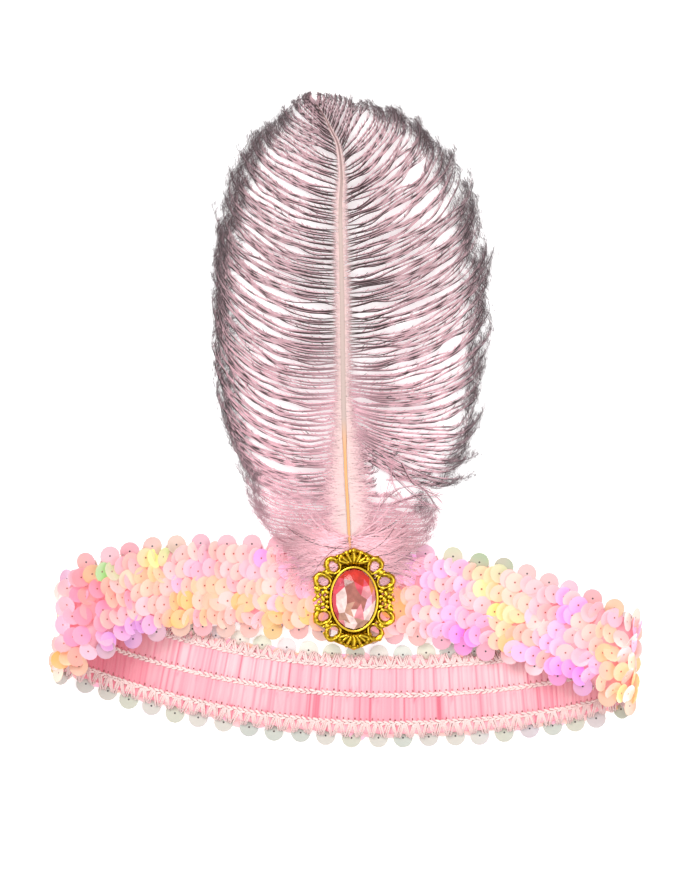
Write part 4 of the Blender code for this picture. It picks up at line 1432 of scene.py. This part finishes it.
def tube(path, radius, sides, closed=False):
    """Points and faces of a tube along a path; its radius may vary along the way."""
    path = np.asarray(path, float)
    radius = np.broadcast_to(np.asarray(radius, float), len(path))
    if closed:
        along = unit(np.roll(path, -1, 0) - np.roll(path, 1, 0))
    else:
        along = unit(np.gradient(path, axis=0))
    level = unit(np.cross(along, [0, 0, 1.0]) + 1e-9)
    rise = np.cross(level, along)
    turns = round_turn(sides)
    around = np.cos(turns)[None, :, None] * level[:, None]
    around = around + np.sin(turns)[None, :, None] * rise[:, None]
    rings = path[:, None] + radius[:, None, None] * around
    faces = grid_faces(len(path), sides, wrap_rows=closed, wrap_columns=True).tolist()
    if not closed:
        faces.append(list(range(sides))[::-1])
        faces.append([(len(path) - 1) * sides + k for k in range(sides)])
    return rings.reshape(-1, 3), faces


EGG_SIDES, EGG_RINGS = 12, 8


def egg(place, size, turn=0.0):
    """Points and faces of an egg with half axes size, its first axis turned in the plane."""
    template, faces = egg_template(EGG_SIDES, EGG_RINGS)
    x, y, z = (template * np.asarray(size)).T
    c, s = math.cos(turn), math.sin(turn)
    turned = np.stack([x * c - y * s, x * s + y * c, z], 1)
    last_ring = EGG_RINGS * EGG_SIDES
    caps = [list(range(EGG_SIDES)), [last_ring + k for k in range(EGG_SIDES)]]
    return turned + np.asarray(place, float), faces.tolist() + caps


def oval(a, b, count, z):
    """Points round a level oval at height z."""
    turns = round_turn(count)
    return np.stack([a * np.cos(turns), b * np.sin(turns), np.full(count, z)], 1)


BEZEL_RINGS = (
    # outside the stone, height, thickness
    (0.35, 2.5, 0.55),
    (0.5, 1.6, 0.7),
    (0.5, 0.75, 0.7),
    (1.7, 0.85, 0.6),
)
WALL_POINTS = 96
PLATE_SIDES = 48


def bezel_shapes():
    """The cup's wall as stacked rings, with a floor plate under the stone."""
    a, b = STONE_HALF
    shapes = [
        tube(oval(a + out, b + out, WALL_POINTS, z), thick, sides=10, closed=True)
        for out, z, thick in BEZEL_RINGS
    ]
    plate = [oval(a + 0.9, b + 0.9, PLATE_SIDES, z) for z in (0.15, 0.8)]
    sides = grid_faces(2, PLATE_SIDES, wrap_columns=True).tolist()
    caps = [list(range(PLATE_SIDES))[::-1], [PLATE_SIDES + k for k in range(PLATE_SIDES)]]
    shapes.append((np.concatenate(plate), sides + caps))
    return shapes


# Places on the upper right quarter of the setting, in millimetres; each quarter has its own
LOOPS = ((8.4, 13.3), (12.6, 7.2))
LOOP_REACH = 2.75
LOOP_BUDS = ((-0.75, 1.05), (0.15, 1.2), (0.95, 0.95))  # turn from the loop's outside, and size
KNOTS = (
    # x, y, size
    (10.9, 10.7, 1.2),
    (5.6, 15.9, 1.2),
    (14.6, 3.9, 1.2),
    (11.6, 4.4, 1.0),
    (4.6, 14.6, 1.0),
)
BAR_FOOT, BAR_HEAD = (8.2, 9.4, 1.6), (12.0, 12.0, 1.9)


def one_loop(middle, out):
    """A pierced loop, wider on its outside, with a raised lip and three buds."""
    turns = round_turn(40)
    swell = np.cos(turns - out)
    reach = LOOP_REACH * (1 + 0.09 * np.cos(2 * (turns - out)) + 0.04 * np.cos(3 * turns))
    ring = np.stack([reach * np.cos(turns), reach * np.sin(turns), 1.1 + 0.2 * swell], 1)
    lip = ring * [1.08, 1.08, 1.0] + [0, 0, 0.85]
    shapes = [
        tube(ring + middle, 1.0 + 0.2 * swell + 0.08 * np.cos(7 * turns), sides=8, closed=True),
        tube(lip + middle, 0.42 + 0.12 * np.sin(5 * turns), sides=6, closed=True),
    ]
    for turn, size in LOOP_BUDS:
        place = np.array([3.2 * math.cos(out + turn), 3.2 * math.sin(out + turn), 1.2])
        shapes.append(egg(middle + place, (size, 0.9 * size, 0.9), out + turn))
    return shapes


def loop_shapes():
    """The eight pierced loops, and the knots and bars between them."""
    shapes = []
    for x, y in LOOPS:
        for sx, sy in QUARTERS:
            out = math.atan2(sy * y, sx * x) + rng.normal(0, 0.12)
            shapes += one_loop(np.array([sx * x, sy * y, 0.0]), out)
    for x, y, size in KNOTS:
        for sx, sy in QUARTERS:
            turn = math.atan2(sy * y, sx * x)
            shapes.append(egg((sx * x, sy * y, 1.4), (size * 1.2, size, size * 1.05), turn))
    for sx, sy in QUARTERS:
        for step in (-0.6, 0.6):
            foot, head = (
                (np.array(end) + [-step, step, 0]) * [sx, sy, 1] for end in (BAR_FOOT, BAR_HEAD)
            )
            bar = foot + (head - foot) * np.linspace(0, 1, 6)[:, None]
            shapes.append(tube(bar, 0.45, sides=6))
    return shapes


FAN_PETALS = (
    # angle from the fan's axis, reach, half width
    (0.0, 5.2, 1.7),
    (0.47, 4.9, 1.5),
    (-0.47, 4.9, 1.5),
    (0.92, 4.8, 1.4),
    (-0.92, 4.8, 1.4),
    (1.3, 5.2, 1.3),
    (-1.3, 5.2, 1.3),
)
# The raised rim over each fan, at the top; at the bottom it is mirrored
CREST = (
    (-10.2, 15.6), (-6.2, 17.2), (-2.7, 18.5), (0.0, 19.8), (2.7, 18.6), (6.2, 17.4), (9.9, 15.6),
)
CREST_THICK = (0.7, 0.85, 0.95, 1.0, 0.95, 0.85, 0.7)
BEAD_COLUMNS = (
    # outside the stone, places up and down
    (1.6, (-3.0, -1.0, 1.0, 3.0)),
    (3.5, (-2.2, 0.0, 2.2)),
    (5.2, (-1.2, 1.2)),
    (6.6, (0.0,)),
)
SCROLL_AT = (15.0, 3.4)


def fan_shapes(sign):
    """One fan of petals, its crest and the arch at its foot; the sign is 1 for the top."""
    b = STONE_HALF[1]
    shapes = []
    for angle, reach, wide in FAN_PETALS:
        heading = sign * (math.pi / 2) - angle * sign
        foot = np.array([1.6 * math.sin(angle), sign * (b + 1.7), 1.25])
        head = foot + reach * np.array([math.cos(heading), math.sin(heading), 0.0])
        middle = (foot + head) / 2 + [0, 0, 0.45]
        shapes.append(egg(middle, (reach * 0.54, wide * 0.78, 1.2), heading))
        shapes.append(egg(head + [0, 0, 0.15], (1.15, 1.05, 0.95)))
        groove = foot + (head - foot) * np.linspace(0.2, 0.85, 6)[:, None] + [0, 0, 1.4]
        shapes.append(tube(groove, 0.36, sides=6))
    shapes.append(tube([(x, sign * y, 0.9) for x, y in CREST], CREST_THICK, sides=8))
    arch = np.linspace(-1.25, 1.25, 16)
    places = [(3.4 * math.sin(t), sign * (b + 1.3 + 2.1 * math.cos(t)), 1.9) for t in arch]
    shapes.append(tube(places, 0.45, sides=6))
    return shapes


def side_shapes(sign):
    """The beaded cluster and its two scrolls; the sign is 1 for the right side."""
    a = STONE_HALF[0]
    shapes = []
    for out, lanes in BEAD_COLUMNS:
        for lane in lanes:
            wobble = rng.normal(0, 0.14, 2)
            size = rng.uniform(0.8, 1.3)
            place = (sign * (a + out + wobble[0]), lane + wobble[1], 1.75 - 0.1 * out)
            turn = rng.uniform(0, math.pi)
            shapes.append(egg(place, (size * 1.2, size * 0.85, size * 0.95), turn))
    scroll = np.linspace(0, 1.7 * math.pi, 24)
    curl = 1.45 - 0.6 * scroll / scroll[-1]
    for up in (1, -1):
        x = sign * (SCROLL_AT[0] + curl * np.cos(scroll + 0.6))
        y = up * (SCROLL_AT[1] + curl * np.sin(scroll + 0.6))
        shapes.append(tube(np.stack([x, y, np.full(24, 1.75)], 1), 0.46, sides=6))
    return shapes


def uneven_shade(nodes, links, shader, grain, detail, ends):
    """The points' own colour on the shader, dimmed and brightened by a noise."""
    spread = map_range(nodes, links, noise(nodes, links, grain, detail), ends)
    shaded = scale_colour(nodes, links, point_colour(nodes, "tint"), spread)
    links.new(shaded, shader.inputs["Base Color"])


def gilt_material():
    """Bright worn gilt."""
    made, nodes, links, shader = new_material("bright_gilt", roughness=0.17, metallic=1.0)
    ends = {"To Min": 0.75, "To Max": 1.2}
    uneven_shade(nodes, links, shader, grain=300.0, detail=4.0, ends=ends)
    add_bump(nodes, links, shader, grain=1500.0, detail=3.0, strength=0.25, distance=0.2 * MM)
    return made


# Painted light on the gilt: shade in the hollows, highlights on the crests
GILT_HOLLOW_SHADE = srgb(66, 42, 0)
GILT_MIDDLE = srgb(156, 116, 6)
GILT_CREST_HIGHLIGHT = srgb(244, 206, 66)


def mesh_values(items, name, size, kind=float):
    """One property of all of a mesh's points or edges, as an array of rows of size."""
    values = np.empty(len(items) * size, kind)
    items.foreach_get(name, values)
    return values.reshape(-1, size)


def neighbour_means(ends, values):
    """For each point the mean of a value over the points that its edges lead to."""
    total, met = np.zeros_like(values), np.zeros((len(values), 1))
    for here, there in (ends.T, ends.T[::-1]):
        np.add.at(total, here, values[there])
        np.add.at(met, here, 1)
    return total / np.maximum(met, 1)


def painted_gilt_shade_and_highlight(mesh, places):
    """Gold with painted shade in the hollows and low down, and painted highlights on the crests, from
    the bend and the height at each point.
    """
    ends = mesh_values(mesh.edges, "vertices", 2, np.int32)
    normals = mesh_values(mesh.vertices, "normal", 3)
    hollow = ((neighbour_means(ends, places) - places) * normals).sum(1, keepdims=True) / VOXEL
    for _ in range(3):
        hollow = 0.5 * hollow + 0.5 * neighbour_means(ends, hollow)
    # Painted shade: darker low down, near the setting's foot
    low = clamp((1.2 - places[:, 2]) / 1.4)
    level = -hollow[:, 0] * 12 - low
    return ramp(level, [-1.0, -0.05, 0.85], [GILT_HOLLOW_SHADE, GILT_MIDDLE, GILT_CREST_HIGHLIGHT])


def fused_mesh(shapes):
    """All shapes run together into one skin, in millimetres round the brooch's middle."""
    points, faces = [], []
    for part_points, part_faces in shapes:
        offset = len(points)
        points += [tuple(p) for p in part_points]
        faces += [[offset + k for k in face] for face in part_faces]
    rough = bpy.data.meshes.new("filigree_rough")
    rough.from_pydata(points, [], faces)
    helper = add_object("filigree_rough", rough)
    remesh = helper.modifiers.new("fuse", "REMESH")
    remesh.mode = "VOXEL"
    remesh.voxel_size = VOXEL
    remesh.use_smooth_shade = True
    soften = helper.modifiers.new("soften", "SMOOTH")
    soften.factor = 0.5
    soften.iterations = 2
    graph = bpy.context.evaluated_depsgraph_get()
    fused = bpy.data.meshes.new_from_object(helper.evaluated_get(graph))
    bpy.data.objects.remove(helper)
    return fused


def filigree_setting():
    """The pierced casting: all its shapes as one skin of gilt metal."""
    shapes = bezel_shapes() + loop_shapes()
    for sign in (1, -1):
        shapes += fan_shapes(sign) + side_shapes(sign)
    fused = fused_mesh(shapes)
    places = mesh_values(fused.vertices, "co", 3)
    places[:, 2] = np.maximum(places[:, 2], BROOCH_CLEAR)
    paint_points(fused, "tint", painted_gilt_shade_and_highlight(fused, places))
    fused.vertices.foreach_set("co", (places * MM + BROOCH).ravel())
    fused.update()
    fused.name = "filigree_setting"
    fused.materials.clear()
    fused.materials.append(gilt_material())
    made = add_object("filigree_setting", fused)
    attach(made, "root")
    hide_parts("brooch_setting")


STONE_RINGS = (
    # share of the oval, height in mm, facets, turn in facets
    (0.50, 1.00, 16, 0.0),
    (0.97, 1.90, 16, 0.0),
    (0.97, 2.50, 16, 0.0),
    (0.80, 3.70, 16, 0.5),
    (0.58, 4.50, 8, 0.0),
    (0.34, 4.70, 8, 0.5),
)
CORAL, ROSE, BLUSH = srgb(204, 42, 26), srgb(222, 78, 96), srgb(230, 138, 146)
# Painted light: the white is a painted highlight, the smoke and taupe are painted dark reflections
WHITE_HIGHLIGHT, LILAC, SMOKE_REFLECTION = srgb(248, 214, 208), srgb(236, 180, 206), srgb(174, 104, 92)
AMBER, TAUPE_REFLECTION = srgb(206, 122, 64), srgb(192, 142, 122)
# The stone's rose colours together with painted reflections and highlights, by place, as shares of its
# half width and height
STONE_PATCHES = (
    (0.0, 0.86, CORAL), (-0.4, 0.75, CORAL), (0.45, 0.75, CORAL), (0.05, 0.62, CORAL),
    (-0.7, 0.5, ROSE), (-0.9, 0.0, ROSE), (-0.8, -0.5, ROSE), (0.78, 0.45, AMBER),
    (-0.15, 0.4, SMOKE_REFLECTION), (0.3, 0.42, ROSE), (-0.5, 0.15, WHITE_HIGHLIGHT), (-0.6, -0.12, WHITE_HIGHLIGHT),
    (0.0, 0.08, SMOKE_REFLECTION), (0.25, -0.12, SMOKE_REFLECTION), (0.5, 0.18, BLUSH), (0.62, -0.08, LILAC),
    (0.8, -0.3, WHITE_HIGHLIGHT), (0.62, -0.55, WHITE_HIGHLIGHT), (-0.3, -0.3, TAUPE_REFLECTION), (-0.5, -0.55, TAUPE_REFLECTION),
    (0.3, -0.45, BLUSH), (-0.05, -0.62, WHITE_HIGHLIGHT), (-0.25, -0.85, WHITE_HIGHLIGHT), (0.3, -0.82, TAUPE_REFLECTION),
    (0.92, 0.05, BLUSH), (-0.6, -0.82, BLUSH),
)


def facet_colour(middle):
    """The colour of the patch that a facet's middle falls in, with a little play."""
    away = [math.hypot(middle[0] - x, middle[1] - y) for x, y, _ in STONE_PATCHES]
    return STONE_PATCHES[int(np.argmin(away))][2] * rng.uniform(0.9, 1.08)


TIE = 0.001  # radians; settles which corner is nearer where two are equally near


def facet_bands(inner, outer):
    """Triangles between two rings of corners, given as start, count and turn."""
    def corner(ring, angle):
        start, count, turn = ring
        return start + round(angle / (2 * math.pi) * count - turn) % count

    faces = []
    start, count, turn = outer
    for k in range(count):
        middle = 2 * math.pi * (k + 0.5 + turn) / count
        faces.append((start + k, start + (k + 1) % count, corner(inner, middle - TIE)))
    start, count, turn = inner
    for k in range(count):
        middle = 2 * math.pi * (k + 0.5 + turn) / count
        faces.append((corner(outer, middle + TIE), start + (k + 1) % count, start + k))
    return faces


STONE_PEAK = (0.05, -0.06, 4.6)


def stone_shape():
    """The stone's corners, as shares of its half width and height, and its facets."""
    points, starts = [], []
    for share, z, count, turn in STONE_RINGS:
        starts.append(len(points))
        angles = 2 * math.pi * (np.arange(count) + turn) / count
        points += [(share * math.cos(t), share * math.sin(t), z) for t in angles]
    girdle = STONE_RINGS[0][2]
    faces = [tuple(range(girdle))[::-1]]
    for start in starts[:2]:
        faces += [tuple(start + row) for row in grid_faces(2, girdle, wrap_columns=True)]
    rings = [(start, row[2], row[3]) for start, row in zip(starts, STONE_RINGS)]
    for outer, inner in zip(rings[2:], rings[3:]):
        faces += facet_bands(inner, outer)
    start, count, _ = rings[-1]
    faces += [(start + k, start + (k + 1) % count, len(points)) for k in range(count)]
    return np.array([*points, STONE_PEAK]), [tuple(int(k) for k in face) for face in faces]


def stone_material():
    """Rose glass with a faint cloud in it."""
    made, nodes, links, shader = new_material("rose_glass", roughness=0.08)
    ends = {"From Min": 0.35, "From Max": 0.65, "To Min": 0.7, "To Max": 1.08}
    uneven_shade(nodes, links, shader, grain=330.0, detail=3.0, ends=ends)
    set_inputs(shader, {
        "Coat Weight": 0.5,
        "Coat Roughness": 0.03,
        "Specular IOR Level": 0.3,
    })
    add_bump(nodes, links, shader, grain=380.0, detail=2.0, strength=0.25, distance=0.6 * MM)
    return made


def cut_stone():
    """The oval stone: each facet painted with its patch's colour, the stone's own rose mixed with
    painted reflections and highlights, under a clear gloss.
    """
    points, faces = stone_shape()
    mesh = bpy.data.meshes.new("cut_stone")
    mesh.from_pydata(points * [*STONE_HALF, 1.0] * MM + BROOCH, [], faces)
    mesh.update()
    layer = mesh.color_attributes.new("tint", "FLOAT_COLOR", "CORNER")
    for polygon in mesh.polygons:
        colour = clamp(facet_colour(points[list(polygon.vertices)].mean(0)))
        for corner in polygon.loop_indices:
            layer.data[corner].color = (*colour, 1)
    mesh.materials.append(stone_material())
    made = add_object("cut_stone", mesh)
    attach(made, "root")
    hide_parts("brooch_stone")


# Floor, light and camera

# The photograph's size in pixels, the pixel from which places before centring are
# measured, and what one pixel really measures
PHOTO_WIDE, PHOTO_HIGH = 700, 875
PHOTO_ORIGIN = (349, 423)
PIXEL = 0.405 * MM
VIEW_MIDDLE = SHIFT[:2] + np.array([
    (PHOTO_WIDE / 2 - PHOTO_ORIGIN[0]) * PIXEL,
    (PHOTO_ORIGIN[1] - PHOTO_HIGH / 2) * PIXEL,
])
VIEW_HEIGHT = PHOTO_HIGH * PIXEL
VIEW_LEVEL = 3 * MM  # the height above the table that is shown at the photograph's scale
LENS = 85.0
SENSOR = 36.0
FLOOR_GREY = 0.85
FLOOR_GLOW = 0.4  # for the photograph's white ground


def floor():
    """A plain white ground."""
    bpy.ops.mesh.primitive_plane_add(size=40.0, location=(0, 0, -0.0002))
    made = bpy.context.object
    made.name = "floor"
    paper, _, _, shader = new_material("white_paper", roughness=0.9)
    set_inputs(shader, {
        "Base Color": (FLOOR_GREY, FLOOR_GREY, FLOOR_GREY, 1),
        "Specular IOR Level": 0.1,
        "Emission Color": (1, 1, 1, 1),
        "Emission Strength": FLOOR_GLOW,
    })
    made.data.materials.append(paper)


WORLD_ZENITH = 1.0
WORLD_HORIZON = 0.3


LAMPS = (
    # name, place, size, power
    ("key", (-0.5, 0.7, 1.1), 0.7, 11.0),
    ("fill", (0.8, -0.3, 0.9), 0.9, 4.0),
)


def world_light():
    """A plain white sky, brighter overhead."""
    world = bpy.data.worlds.new("studio")
    bpy.context.scene.world = world
    world.use_nodes = True
    nodes, links = world.node_tree.nodes, world.node_tree.links
    place = nodes.new("ShaderNodeTexCoord")
    split = nodes.new("ShaderNodeSeparateXYZ")
    links.new(place.outputs["Generated"], split.inputs["Vector"])
    ends = {"From Max": 0.8, "To Min": WORLD_HORIZON, "To Max": WORLD_ZENITH}
    strength = map_range(nodes, links, split.outputs["Z"], ends)
    links.new(strength, nodes["Background"].inputs["Strength"])
    nodes["Background"].inputs["Color"].default_value = (1, 1, 1, 1)


def lamps():
    """Two soft lamps that look at the row's middle."""
    for name, place, size, power in LAMPS:
        data = bpy.data.lights.new(name, "AREA")
        data.size = size
        data.energy = power
        lamp = add_object(name, data)
        lamp.location = place
        track = lamp.constraints.new("TRACK_TO")
        track.target = add_object(name + "_aim", None)
        track.track_axis = "TRACK_NEGATIVE_Z"
        track.up_axis = "UP_Y"


def camera():
    """Looks straight down and takes in what the photograph does."""
    data = bpy.data.cameras.new("camera")
    data.lens = LENS
    data.sensor_width = SENSOR
    made = add_object("camera", data)
    made.location = (*VIEW_MIDDLE, VIEW_LEVEL + VIEW_HEIGHT * LENS / SENSOR)
    bpy.context.scene.camera = made


def main():
    """Each piece with its own seed, so that its draws don't hang on the others."""
    bpy.context.scene.view_settings.view_transform = "Standard"
    deal(11)
    knit_backing()
    deal(12)
    stitched_lines()
    needle_holes()
    edge_threads()
    deal(SEQUIN_SEED)
    sequin_rows()
    deal(14)
    edge_sequins("edge_sequins_upper", 1, "sequin_edge_upper")
    edge_sequins("edge_sequins_lower", -1, "sequin_edge_lower")
    plume()
    quill()
    deal(17)
    filigree_setting()
    cut_stone()
    floor()
    world_light()
    lamps()
    camera()


main()
